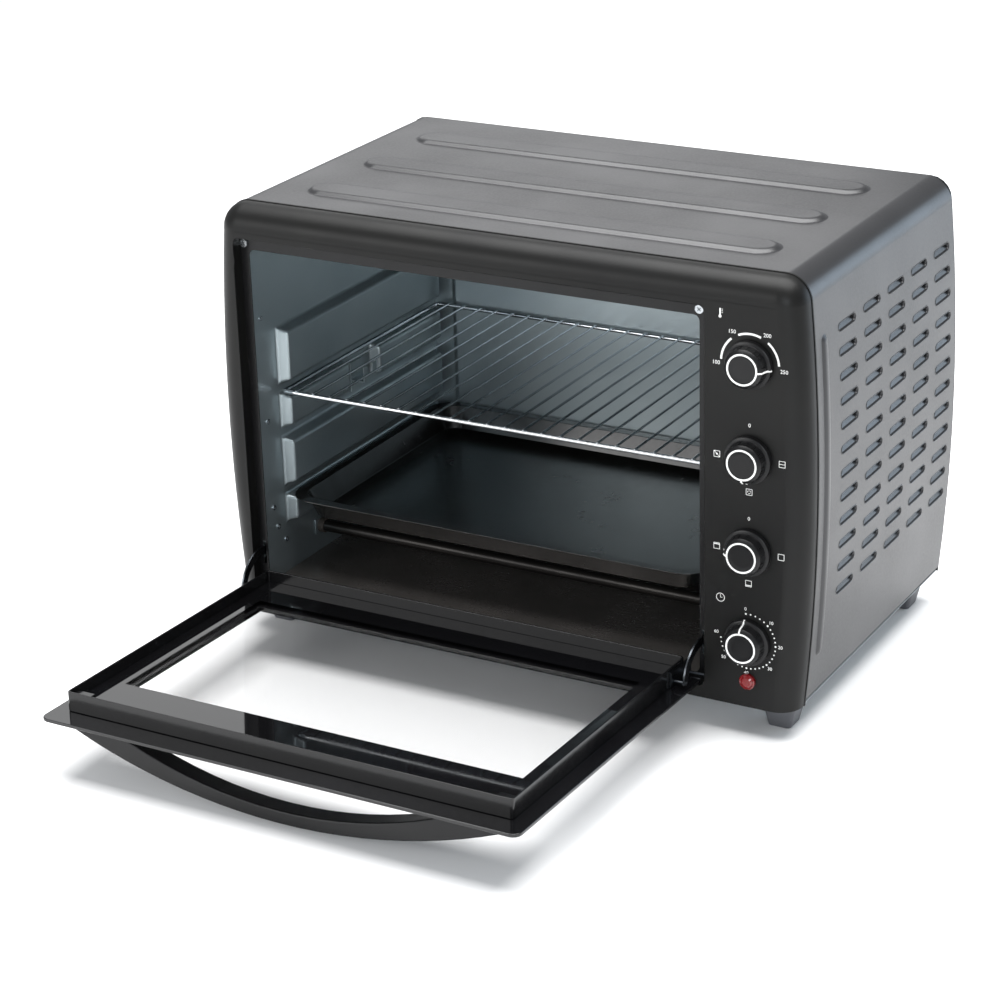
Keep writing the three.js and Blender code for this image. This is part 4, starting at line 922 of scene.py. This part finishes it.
@dataclass
class Cavity:
    """The oven's lining with its runners, heaters, spit support and flange."""

    sheet: float = 0.8 * MM
    bend: float = 2.6 * MM
    slope: float = 3 * MM
    runner_front: float = 6 * MM
    screw_radius: float = 2.2 * MM
    screw_places: tuple[tuple[float, float], ...] = (
        (9.4, 293), (10.9, 195.6), (12.4, 112.2), (17.7, 91.9), (29, 75.3))
    levels: tuple[tuple[float, float], ...] = ((92, 118), (128, 173), (183, 215), (225, 277))
    spit_break: float = 24 * MM
    runner_rear: float = 5.7 * MM
    back_rise: float = 5 * MM
    back_margin: float = 22 * MM
    bracket_half: tuple[float, float] = (9 * MM, 8 * MM)
    bracket_sheet: float = 1 * MM
    collar_reach: float = 7 * MM
    collar_wall: float = 1.3 * MM

    def build(self) -> None:
        """Model and dress the cavity."""
        self.side("left", 1)
        self.side("right", -1)
        self.back()
        for node in ("cavity_roof", "cavity_floor"):
            sheet = merged_copy(node, f"{node}_sheet")
            soften(sheet, 0.3 * MM, 2)
            # The floor gets the copy of the aluminised sheet that has its shade painted in as a darker,
            # warmer colour.
            dress(sheet, FLOOR_PAINTED_SHADE if node == "cavity_floor" else ALUMINISED,
                  stands_for=[node])
        self.heaters()
        self.support()
        self.flange()

    def side(self, name: str, sign: int) -> None:
        """One side wall with its pressed runners.

        Args:
            name: "left" or "right".
            sign: Direction along X towards the inside.
        """
        low, high = (Vector(corner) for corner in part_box(f"cavity_{name}_wall"))
        flat = low.x + self.sheet if sign > 0 else high.x - self.sheet
        rise = (high.x - low.x) - self.sheet
        spit = centre("spit_drive_socket")
        guard_low, guard_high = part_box("fan_guard")
        fan = centre("fan_guard")
        breaks = [(spit.y, self.spit_break, spit.z, spit.z)]
        if sign < 0:
            breaks.append((fan.y, (guard_high[1] - guard_low[1]) / 2 + 2 * MM, guard_low[2],
                           guard_high[2]))
        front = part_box("wire_shelf")[0][1] + self.runner_front
        rear = high.y - self.runner_rear
        pressings = []
        for bottom, top in ((a * MM, b * MM) for a, b in self.levels):
            gap = next(((y, half) for y, half, base, crown in breaks
                        if bottom < crown and top > base), None)
            ends = [(front, rear)] if gap is None else [(front, gap[0] - gap[1]),
                                                        (gap[0] + gap[1], rear)]
            pressings += [(start, end, bottom, top, rise) for start, end in ends]
        wall = pressed_panel(f"cavity_{name}_lining", (flat, low.y, low.z), (flat, high.y, high.z),
                             (sign, 0, 0), pressings, self.slope, self.sheet, self.bend)
        dress(wall, ALUMINISED, stands_for=[f"cavity_{name}_wall"], angle=60)

    def back(self) -> None:
        """The back wall with its raised panel."""
        low, high = (Vector(corner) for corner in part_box("cavity_back_wall"))
        flat = high.y - self.sheet
        margin = self.back_margin
        panel = (low.x + margin, high.x - margin, low.z + margin, high.z - margin, self.back_rise)
        wall = pressed_panel("cavity_back_lining", (low.x, flat, low.z), (high.x, flat, high.z),
                             (0, -1, 0), [panel], self.slope, self.sheet, self.bend)
        dress(wall, ALUMINISED, stands_for=["cavity_back_wall"], angle=60)

    def heaters(self) -> None:
        """Four sheathed heating rods with ceramic ends and steel end brackets."""
        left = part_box("cavity_left_wall")[0][0] + self.sheet
        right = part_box("cavity_right_wall")[1][0] - self.sheet
        for level in ("lower", "upper"):
            for row in ("front", "rear"):
                node = f"heater_{level}_{row}"
                low, high = (Vector(corner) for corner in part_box(node))
                middle = (low + high) / 2
                radius = (high.z - low.z) / 2
                tube = rod(f"{node}_sheath", (low.x, middle.y, middle.z), (high.x, middle.y, middle.z),
                           radius, 32)
                soften(tube, 0.6 * MM, 2)
                dress(tube, SHEATH, stands_for=[node])
                for side, x, sign in (("left", left, 1), ("right", right, -1)):
                    self.heater_end(node, side, Vector((x, middle.y, middle.z)), sign, radius)

    def heater_end(self, node: str, side: str, place: Vector, sign: int, radius: float) -> None:
        """The steel bracket and ceramic collar at one end of a rod.

        Args:
            node: The rod's node.
            side: "left" or "right".
            place: Where the rod meets the wall.
            sign: Direction along X towards the inside.
            radius: The rod's radius.
        """
        inner = place.x + sign * self.bracket_sheet
        half_y, half_z = self.bracket_half
        plate = cube(f"{node}_bracket_{side}",
                     (min(place.x, inner), place.y - half_y, place.z - half_z),
                     (max(place.x, inner), place.y + half_y, place.z + half_z))
        pick(plate, Kind.EDGE, lambda a, b: abs(a.x - b.x) > self.bracket_sheet / 2)
        bpy.ops.mesh.bevel(offset=3 * MM, segments=4, affect="EDGES")
        activate(plate)
        soften(plate, 0.2 * MM, 2)
        collar = rod(f"{node}_collar_{side}", (inner, place.y, place.z),
                     (place.x + sign * self.collar_reach, place.y, place.z),
                     radius + self.collar_wall, 32)
        soften(collar, 0.5 * MM, 2)
        dress(plate, ALUMINISED)
        dress(collar, STEATITE)

    def support(self) -> None:
        """The bracket that carries the free end of a spit."""
        bracket = merged_copy("spit_support", "spit_rest")
        soften(bracket, 0.3 * MM, 2)
        dress(bracket, ALUMINISED, stands_for=["spit_support"])

    def flange(self) -> None:
        """The black flange around the mouth and the screws in it."""
        ring = merged_copy("cavity_front_flange", "mouth_flange")
        soften(ring, 0.3 * MM, 2)
        dress(ring, FLANGE_PAINT, stands_for=["cavity_front_flange"])
        for side in ("left", "right"):
            node = f"flange_screw_{side}"
            low, high = (Vector(corner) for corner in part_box(node))
            middle = (low + high) / 2
            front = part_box("cavity_front_flange")[0][1]
            head = cross_screw(f"{node}_head", (middle.x, front, middle.z), (0, -1, 0),
                               (high.x - low.x) / 2)
            dress(head, ZINC, stands_for=[node])
        self.wall_screws()

    def wall_screws(self) -> None:
        """Small screw heads down the front edge of the left wall."""
        x, front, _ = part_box("cavity_left_wall")[0]
        heads = [cross_screw("wall_screw", (x + self.sheet, front + behind * MM, z * MM), (1, 0, 0),
                             self.screw_radius) for behind, z in self.screw_places]
        dress(join("wall_screws", heads), ZINC)


# ------------------------------------------------------------------ shelf and tray


def bent_wire(name: str, points: list[Iterable[float]], radius: float, bend: float,
              sides: int = 16) -> bpy.types.Object:
    """A round wire through points, with an arc at each corner.

    Args:
        name: The piece's name.
        points: Corners of its centre line.
        radius: Radius of the wire.
        bend: Radius of its bends.
        sides: Vertices around it.

    Returns:
        The wire, with flat ends.
    """
    corners = [Vector(point) for point in points]
    heading = (corners[1] - corners[0]).normalized()
    ring = add("circle", vertices=sides, radius=radius, fill_type="NGON", location=corners[0],
               rotation=heading.to_track_quat("Z", "Y").to_euler())
    piece = done(ring, name)
    pick(piece, Kind.FACE, lambda middle, normal: True)
    here = corners[0]
    for index, corner in enumerate(corners[1:], 1):
        if index == len(corners) - 1:
            bpy.ops.mesh.extrude_region_move(TRANSFORM_OT_translate={"value": corner - here})
            break
        heading = (corner - here).normalized()
        onward = (corners[index + 1] - corner).normalized()
        angle = heading.angle(onward)
        lead = bend * math.tan(angle / 2)
        start = corner - heading * lead
        bpy.ops.mesh.extrude_region_move(TRANSFORM_OT_translate={"value": start - here})
        axis = heading.cross(onward).normalized()
        bpy.ops.mesh.spin(steps=6, angle=-angle, center=start + axis.cross(heading) * bend,
                          axis=axis)
        here = corner + onward * lead
    bpy.ops.mesh.select_all(action="SELECT")
    bpy.ops.mesh.remove_doubles(threshold=0.005 * MM)
    bpy.ops.mesh.normals_make_consistent(inside=False)
    activate(piece)
    return piece


@dataclass
class Shelf:
    """The chrome wire shelf.

    Attributes:
        rim: Half the frame's own wire, which places the rim inside its box.
        rim_wire: Radius that the rim is drawn with.
        wire: Radius of the cross wires.
        pitch: Distance from one cross wire to the next.
        corner: Bend radius of the rim.
        overhang: How far the cross wires reach past the rim's middle.
    """

    rim: float = 2.5 * MM
    rim_wire: float = 2.0 * MM
    wire: float = 1.1 * MM
    pitch: float = 17.7 * MM
    corner: float = 3.2 * MM
    overhang: float = 0.9 * MM

    def build(self) -> None:
        """Model and dress the shelf."""
        low, high = (Vector(corner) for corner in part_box("wire_shelf"))
        level = low.z + self.rim
        x0, x1 = low.x + self.rim, high.x - self.rim
        y0, y1 = low.y + self.rim, high.y - self.rim
        middle = (x0 + x1) / 2
        rim = bent_wire("shelf_rim", [(middle, y0, level), (x1, y0, level), (x1, y1, level),
                                      (x0, y1, level), (x0, y0, level), (middle, y0, level)],
                        self.rim_wire, self.corner)
        count = int((x1 - x0 - 4 * self.rim) / self.pitch)
        first = middle - count * self.pitch / 2
        wires = [rim]
        top = level + self.rim_wire * 0.8
        for index in range(count + 1):
            x = first + index * self.pitch
            bar = rod("shelf_wire", (x, y0 - self.overhang, top), (x, y1 + self.overhang, top),
                      self.wire, 12)
            soften(bar, 0.6 * MM, 2, angle=60)
            wires.append(bar)
        dress(join("shelf_wires", wires), CHROME, Body.SHELF, ["wire_shelf"], 50)


@dataclass
class Tray:
    """The enamelled baking tray."""

    def build(self) -> None:
        """Model and dress the tray."""
        pan = merged_copy("baking_tray", "tray_pan")
        soften(pan, 0.35 * MM, 3, angle=30)
        dress(pan, ENAMEL, Body.TRAY, ["baking_tray"], 50)


# ------------------------------------------------------------------ door


@dataclass
class Door:
    """The drop-down glass door with its frame, handle and hinges."""

    border_x: float = 20.5 * MM
    border_y: float = 48.5 * MM

    def build(self) -> None:
        """Model and dress the door."""
        low, high = (Vector(corner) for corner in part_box("door_frame"))
        middle = (low + high) / 2
        window = {"middle": (middle.x, middle.y + 4 * MM),
                  "half": ((high.x - low.x) / 2 - self.border_x,
                           (high.y - low.y) / 2 - self.border_y)}
        pane = PrintedGlass("printed_inner_glass", "#0a0a0b", "#0e0e10", (0.02, 0.05), grain=40,
                            relief=0.0, cloud=200, coat=0.0, **window)
        outer = PrintedGlass("printed_outer_glass", "#0b0b0c", "#0f0f11", (0.03, 0.07), grain=40,
                             relief=0.0, cloud=200, coat=0.0, **window)
        for node, finish, edge in (("door_outer_glass", outer, 0.7), ("door_inner_glass", pane, 0.4)):
            sheet = merged_copy(node, node.replace("door", "door_pane"))
            soften(sheet, edge * MM, 3)
            dress(sheet, finish, Body.DOOR, [node], 40)
        frame_piece = merged_copy("door_frame", "door_inner_frame")
        soften(frame_piece, 0.5 * MM, 3)
        dress(frame_piece, GLOSS_ABS, Body.DOOR, ["door_frame"], 40)
        handle = merged_copy("door_handle", "door_grip")
        soften(handle, 1.8 * MM, 4, angle=50)
        dress(handle, KNOB_ABS, Body.DOOR, ["door_handle"], 40)
        for side in ("left", "right"):
            for node, finish, slot in (("door_hinge", DARK_ZINC, "zinc"),
                                       ("door_arm", DARK_ZINC, "zinc"),
                                       ("door_clip", GLOSS_ABS, "door_frame_plastic")):
                part = merged_copy(f"{node}_{side}", f"{node}_{side}_piece")
                soften(part, 0.25 * MM, 2)
                dress(part, finish, Body.DOOR, [f"{node}_{side}"])


# ------------------------------------------------------------------ controls


def on_front(x: float, y: float, z: float, angle: float, radius: float) -> Vector:
    """A point on a front-facing circle, at an angle counted anticlockwise from the right."""
    return Vector((x + radius * math.cos(angle), y, z + radius * math.sin(angle)))


@dataclass
class Knob:
    """One control knob with its printed ring and pointer.

    Attributes:
        name: Which control it works.
        body: The body that carries it.
        pointer: Direction of its pointer at rest, in degrees anticlockwise from the right.
        sides: Number of sides of its round shapes.
        skirt: Height of the skirt at its foot.
        steps: How far each step above the skirt pulls in and rises, in millimetres.
        line: Half the width of the white ring and pointer.
    """

    name: str
    body: Body
    pointer: float
    sides: int = 96
    skirt: float = 4.2 * MM
    steps: tuple[tuple[float, float], ...] = (
        (0.9, 0.5), (1.6, 0.3), (0.4, 0.9), (0.9, 6.4), (0.3, 0.5), (1.6, 1.6), (0.7, 0.4))
    line: float = 0.75 * MM

    def build(self) -> None:
        """Model and dress the knob."""
        node = f"knob_{self.name}"
        low, high = (Vector(corner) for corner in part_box(node))
        self.middle = (low + high) / 2
        self.front, self.back = low.y, high.y
        self.radius = (high.x - low.x) / 2
        x, z = self.middle.x, self.middle.z
        knob = rod(f"{node}_cap", (x, self.back, z), (x, self.back - self.skirt, z), self.radius,
                   self.sides)
        pick(knob, Kind.FACE, lambda middle, normal: normal.y < -0.9)
        radius = self.radius
        for pull, rise in self.steps:
            bpy.ops.mesh.extrude_region_move(TRANSFORM_OT_translate={"value": (0, -rise * MM, 0)})
            grow = (radius - pull * MM) / radius
            bpy.ops.transform.resize(value=(grow, 1, grow), center_override=(x, 0, z))
            radius -= pull * MM
        self.face = self.back - self.skirt - sum(rise for _, rise in self.steps) * MM
        self.face_radius = radius
        bpy.ops.mesh.inset(thickness=2.2 * MM, depth=-0.7 * MM)
        bpy.ops.mesh.inset(thickness=4 * MM, depth=-0.2 * MM)
        step = math.tau / self.sides
        band = self.back - self.skirt - 1.7 * MM
        pick(knob, Kind.FACE, lambda middle, normal: band - 6.2 * MM < middle.y < band
             and int((math.atan2(middle.z - z, middle.x - x) + math.tau) / step + 0.5) % 3 == 0)
        bpy.ops.mesh.inset(thickness=0.12 * MM, depth=-0.45 * MM)
        dress(knob, KNOB_ABS, self.body, [node], 35)
        self.marks(x, z)

    def marks(self, x: float, z: float) -> None:
        """The white ring on the cap and the pointer down the knob's side."""
        angle = math.radians(self.pointer)
        ring_radius = self.face_radius - 1.1 * MM
        ring = rod(f"knob_{self.name}_ring", (x, self.face + 0.1 * MM, z),
                   (x, self.face - 0.12 * MM, z), ring_radius + self.line, self.sides)
        cut(ring, rod("ring_hole", (x, self.face + MM, z), (x, self.face - MM, z),
                      ring_radius - self.line, self.sides))
        path = [on_front(x, self.face - 0.15 * MM, z, angle, ring_radius),
                on_front(x, self.face + 0.2 * MM, z, angle, self.face_radius + 0.6 * MM),
                on_front(x, self.face + 2.4 * MM, z, angle, self.face_radius + 2.3 * MM),
                on_front(x, self.back - 5.6 * MM, z, angle, self.radius - 2.5 * MM),
                on_front(x, self.back - 4.4 * MM, z, angle, self.radius - 0.9 * MM),
                on_front(x, self.back - 2.6 * MM, z, angle, self.radius + 0.1 * MM)]
        pointer = bent_wire("pointer", path, self.line, 0.4 * MM, 12)
        dress(join(f"knob_{self.name}_mark", [ring, pointer]), WHITE_INK, self.body, angle=50)


@dataclass
class Controls:
    """The four knobs, the pilot lamp and the printing around them.

    Attributes:
        ink: Half the thickness of the printing.
        line: Width of a symbol's lines.
        text_size: Height of the numbers.
        temperature_arc: Radius of the temperature scale's arcs.
        temperature_ring: Radius that the temperatures stand on.
        switch_ring: Radius that a switch's zero and symbols stand on.
        timer_dots: Radius that the timer's dots stand on.
        timer_ring: Radius that the minutes stand on.
        clock: Radius of the small clock.
        knobs: The knobs, from the top down.
    """

    ink: float = 0.06 * MM
    line: float = 0.45 * MM
    text_size: float = 4.6 * MM
    temperature_arc: float = 25 * MM
    temperature_ring: float = 29.5 * MM
    switch_ring: float = 28.5 * MM
    timer_dots: float = 24.5 * MM
    timer_ring: float = 28.8 * MM
    clock: float = 3.6 * MM
    knobs: tuple[Knob, ...] = (
        Knob("temperature", Body.TEMPERATURE, -5), Knob("function", Body.FUNCTION, -90),
        Knob("selector", Body.SELECTOR, 180), Knob("timer", Body.TIMER, 95))

    def build(self) -> None:
        """Model and dress the controls."""
        self.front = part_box("front_fascia")[0][1]
        for knob in self.knobs:
            knob.build()
        self.lamp()
        self.temperature_marks()
        self.switch_marks("function", ("divided", "fan", "cross"))
        self.switch_marks("selector", ("plain", "bottom_bar", "top_bar"))
        self.timer_marks()
        for name in ("temperature", "function", "selector", "timer"):
            shaft = merged_copy(f"shaft_{name}", f"shaft_{name}_rod")
            soften(shaft, 0.3 * MM, 2)
            dress(shaft, BRASS, Body(f"{name}_control"), [f"shaft_{name}"])

    def lamp(self) -> None:
        """The faceted red lens of the pilot lamp."""
        low, high = (Vector(corner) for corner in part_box("pilot_lamp_lens"))
        middle = (low + high) / 2
        radius = (high.x - low.x) / 2
        lens = rod("lamp_lens", (middle.x, high.y, middle.z), (middle.x, low.y + 1.6 * MM, middle.z),
                   radius, 24)
        pick(lens, Kind.FACE, lambda centre_point, normal: normal.y < -0.9)
        bpy.ops.mesh.inset(thickness=1.1 * MM, depth=1.0 * MM)
        bpy.ops.mesh.inset(thickness=0.6 * MM, depth=-0.6 * MM)
        bpy.ops.mesh.inset(thickness=1.6 * MM, depth=1.1 * MM)
        dress(lens, RED_ACRYLIC, Body.ROOT, ["pilot_lamp_lens"], 20)

    def bar(self, a: Vector, b: Vector, width: float) -> bpy.types.Object:
        """A thin printed line between two points on the panel."""
        line = rod("ink_line", a, b, width / 2, 4)
        pick(line, Kind.VERT, lambda co: True)
        squeeze = self.ink * 2 / width
        bpy.ops.transform.resize(value=(1, squeeze, 1), center_override=(0, self.front, 0))
        activate(line)
        return line

    def arc(self, x: float, z: float, radius: float, start: float, end: float,
            width: float) -> bpy.types.Object:
        """A thin printed arc on the panel, between two angles in degrees."""
        angle = math.radians(start)
        inner, outer = (on_front(x, self.front, z, angle, radius + width * s / 2) for s in (-1, 1))
        piece = done(add("circle", vertices=4, radius=width / 2), "ink_arc")
        ends = [inner + Vector((0, self.ink, 0)), inner - Vector((0, self.ink, 0)),
                outer - Vector((0, self.ink, 0)), outer + Vector((0, self.ink, 0))]
        for vertex, place in zip(piece.data.vertices, ends):
            vertex.co = place
        pick(piece, Kind.VERT, lambda co: True)
        bpy.ops.mesh.edge_face_add()
        bpy.ops.mesh.select_all(action="SELECT")
        bpy.ops.mesh.spin(steps=max(4, int(abs(end - start) / 5)), angle=-math.radians(end - start),
                          center=(x, self.front, z), axis=(0, -1, 0))
        bpy.ops.mesh.select_all(action="SELECT")
        bpy.ops.mesh.remove_doubles(threshold=0.002 * MM)
        bpy.ops.mesh.normals_make_consistent(inside=False)
        activate(piece)
        return piece

    def dot(self, x: float, z: float, radius: float) -> bpy.types.Object:
        """A printed dot on the panel."""
        return rod("ink_dot", (x, self.front + self.ink, z), (x, self.front - self.ink, z), radius, 12)

    def number(self, text: str, x: float, z: float, size: float) -> bpy.types.Object:
        """A printed number, centred on a point of the panel."""
        if bpy.context.mode != "OBJECT":
            bpy.ops.object.mode_set(mode="OBJECT")
        bpy.ops.object.text_add(location=(x, self.front, z), rotation=(math.pi / 2, 0, 0))
        letters = bpy.context.object
        letters.data.body = text
        letters.data.size = size
        letters.data.extrude = self.ink
        letters.data.resolution_u = 3
        letters.data.align_x = "CENTER"
        letters.data.align_y = "CENTER"
        activate(letters)
        bpy.ops.object.convert(target="MESH")
        return done(bpy.context.object, "ink_number")

    def temperature_marks(self) -> None:
        """The temperature scale: three arcs, four numbers and a thermometer."""
        middle = centre("knob_temperature")
        x, z = middle.x, middle.z
        pieces = [self.arc(x, z, self.temperature_arc, start, end, 1.8 * MM)
                  for start, end in ((178, 130), (114, 68), (52, 4))]
        for text, angle in (("100", 185), ("150", 122), ("200", 60), ("250", -5)):
            place = on_front(x, 0, z, math.radians(angle), self.temperature_ring)
            pieces.append(self.number(text, place.x, place.z, self.text_size))
        left, base = x - 26 * MM, z + 37 * MM
        pieces.append(self.bar(Vector((left, self.front, base)),
                               Vector((left, self.front, base + 6 * MM)), 1.1 * MM))
        pieces.append(self.dot(left, base - 0.6 * MM, 1.3 * MM))
        for step in range(3):
            level = base + (2.5 + 1.4 * step) * MM
            pieces.append(self.bar(Vector((left + 1.2 * MM, self.front, level)),
                                   Vector((left + 2.4 * MM, self.front, level)), 0.4 * MM))
        dress(join("temperature_marks", pieces), WHITE_INK, angle=30)

    def icon(self, kind: str, x: float, z: float) -> list[bpy.types.Object]:
        """A small square symbol for a heating mode."""
        half, line = 2.6 * MM, self.line
        corner = [Vector((x + half * a, self.front, z + half * b))
                  for a, b in ((-1, -1), (1, -1), (1, 1), (-1, 1))]
        pieces = [self.bar(corner[i], corner[(i + 1) % 4], line) for i in range(4)]
        left, right = Vector((x - half, self.front, z)), Vector((x + half, self.front, z))
        shift = Vector((0, 0, half * 0.62))
        if kind == "divided":
            pieces.append(self.bar(left, right, line))
        elif kind == "cross":
            pieces += [self.bar(corner[3], corner[1], line),
                       self.dot(x, z, 0.8 * MM)]
        elif kind == "fan":
            pieces += [self.arc(x, z, 1.3 * MM, turn, turn + 80, line) for turn in (0, 120, 240)]
        elif kind == "bottom_bar":
            pieces.append(self.bar(left - shift, right - shift, line * 1.6))
        elif kind == "top_bar":
            pieces.append(self.bar(left + shift, right + shift, line * 1.6))
        return pieces

    def switch_marks(self, name: str, kinds: tuple[str, str, str]) -> None:
        """A zero over a switch's knob and symbols to its right, below and to its left."""
        middle = centre(f"knob_{name}")
        x, z = middle.x, middle.z
        pieces = [self.number("0", x, z + self.switch_ring, self.text_size)]
        for kind, angle in zip(kinds, (0, -90, 180)):
            place = on_front(x, 0, z, math.radians(angle), self.switch_ring)
            pieces += self.icon(kind, place.x, place.z)
        dress(join(f"{name}_marks", pieces), WHITE_INK, angle=30)

    def timer_marks(self) -> None:
        """The timer's scale: dots, minutes and a small clock."""
        middle = centre("knob_timer")
        x, z = middle.x, middle.z
        numbers = (("0", 95), ("10", 45), ("20", 0), ("30", -47), ("40", -93), ("50", -140),
                   ("60", -187))
        pieces = []
        for (_, start), (_, end) in zip(numbers, numbers[1:]):
            for step in range(5):
                angle = math.radians(start + (end - start) * step / 5)
                place = on_front(x, 0, z, angle, self.timer_dots)
                pieces.append(self.dot(place.x, place.z, 0.7 * MM if step else 0.85 * MM))
        for text, angle in numbers:
            place = on_front(x, 0, z, math.radians(angle), self.timer_ring)
            pieces.append(self.number(text, place.x, place.z, self.text_size * 0.9))
        clock_x, clock_z = x - 25 * MM, z + 35 * MM
        for start in (0, 180):
            pieces.append(self.arc(clock_x, clock_z, self.clock, start, start + 180, 0.5 * MM))
        hub = Vector((clock_x, self.front, clock_z))
        for reach in (Vector((0, 0, 2.6 * MM)), Vector((1.7 * MM, 0, 0))):
            pieces.append(self.bar(hub, hub + reach, self.line))
        dress(join("timer_marks", pieces), WHITE_INK, angle=30)


# ------------------------------------------------------------------ studio


@dataclass
class Studio:
    """A pale floor, soft lights and the camera.

    Attributes:
        azimuth: Degrees that the camera stands to the right of the front.
        elevation: Degrees that it looks down by.
        roll: Degrees that it is turned about its own axis.
        distance: Metres from the camera to what it aims at.
        lens: Focal length in millimetres.
        aim: What it aims at, with Y counted from the casing's middle.
        surround: Strength of the light from all round.
    """

    azimuth: float = 29.78
    elevation: float = 22.29
    roll: float = -1.7
    distance: float = 2.54647
    lens: float = 100.85
    aim: Point = (-79.07 * MM, -35.87 * MM, 106.25 * MM)
    surround: float = 0.42

    def build(self) -> None:
        """Make the floor, the lights and the camera."""
        # The plain transform keeps the pale floor white; the filmic ones grey it.
        bpy.context.scene.view_settings.view_transform = "Standard"
        self.floor()
        self.lights()
        self.camera()

    def floor(self) -> None:
        """A wide pale floor."""
        floor = done(add("plane", size=14), "studio_floor")
        floor.data.materials.append(BACKDROP.material())

    def softbox(self, name: str, place: Point, aim: Point, size: tuple[float, float],
                power: float, colour: str) -> None:
        """A rectangular soft light.

        Args:
            name: The light's name.
            place: Where it stands.
            aim: What it points at.
            size: Its width and height.
            power: Its power in watts.
            colour: Its colour.
        """
        light = bpy.data.lights.new(name, "AREA")
        light.shape = "RECTANGLE"
        light.size, light.size_y = size
        light.energy = power
        light.color = srgb(colour)[:3]
        lamp = bpy.data.objects.new(name, light)
        lamp.location = place
        lamp.rotation_euler = (Vector(aim) - Vector(place)).to_track_quat("-Z", "Y").to_euler()
        bpy.context.scene.collection.objects.link(lamp)

    def lights(self) -> None:
        """Soft boxes and a pale surround."""
        world = bpy.data.worlds.new("studio_surround")
        world.use_nodes = True
        surround = world.node_tree.nodes["Background"].inputs
        surround[0].default_value = srgb("#f4f7fa")
        surround[1].default_value = self.surround
        bpy.context.scene.world = world
        self.softbox("overhead", (0.0, 0.2, 2.8), (0, 0, 0.2), (3.2, 2.4), 190, "#ffffff")
        self.softbox("rear_right", (1.7, 1.9, 0.55), (0.2, 0.3, 0.25), (1.6, 0.9), 16, "#cfe2f4")
        self.softbox("front_left", (-1.6, -2.6, 1.1), (0, 0.3, 0.22), (1.6, 1.2), 36, "#ffffff")
        self.softbox("front_right", (1.4, -2.5, 1.0), (-0.2, 0.1, 0.2), (1.2, 0.8), 26, "#eef4fa")
        self.softbox("rear_left", (-1.6, 2.6, 1.5), (0, 0.3, 0.35), (1.8, 1.0), 7, "#ffffff")

    def camera(self) -> None:
        """The camera, at the height and turn that the oven is looked at from."""
        azimuth, elevation, roll = (math.radians(v) for v in (self.azimuth, self.elevation, self.roll))
        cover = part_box("outer_cover")
        middle_y = (cover[0][1] + cover[1][1]) / 2
        target = Vector((self.aim[0], middle_y + self.aim[1], self.aim[2]))
        look = Vector((-math.sin(azimuth) * math.cos(elevation),
                       math.cos(azimuth) * math.cos(elevation), -math.sin(elevation)))
        turn = look.to_track_quat("-Z", "Y").to_matrix().to_4x4() @ Matrix.Rotation(roll, 4, "Z")
        data = bpy.data.cameras.new("view_camera")
        data.lens = self.lens
        data.sensor_width = 36
        data.clip_end = 50
        camera = bpy.data.objects.new("view_camera", data)
        camera.matrix_world = Matrix.Translation(target - look * self.distance) @ turn
        bpy.context.scene.collection.objects.link(camera)
        bpy.context.scene.camera = camera


def plain_nodes() -> None:
    """Dress the CAD nodes that keep their own shape."""
    finishes = {
        "galvanised_steel": GALVANISED, "foot_plastic": FOOT_NYLON, "painted_steel": CASING_PAINT,
        "fascia_plastic": FRAME_ABS, "flange_paint": FLANGE_PAINT, "zinc": ZINC,
        "aluminised_steel": ALUMINISED, "heater_sheath": SHEATH, "chrome_wire": CHROME,
        "tray_enamel": ENAMEL, "brass": BRASS, "knob_plastic": KNOB_ABS, "lamp_lens": RED_ACRYLIC,
        "ceramic": STEATITE, "rubber": NEOPRENE, "door_glass": GLOSS_ABS,
        "door_frame_plastic": GLOSS_ABS, "handle_plastic": KNOB_ABS}
    for entry in frame["record"]["subparts"]:
        node = frame["nodes"][entry["node"]]
        node.data.materials.clear()
        node.data.materials.append(finishes[entry["material_slot"]].material())


def main() -> None:
    logging.basicConfig(level=logging.INFO, format="%(name)s: %(message)s")
    Studio().build()
    plain_nodes()
    for assembly in (Casing(), FrontFrame(), Cavity(), Shelf(), Tray(), Door(), Controls()):
        assembly.build()
        LOG.info("built %s", type(assembly).__name__)


if __name__ == "__main__":
    main()
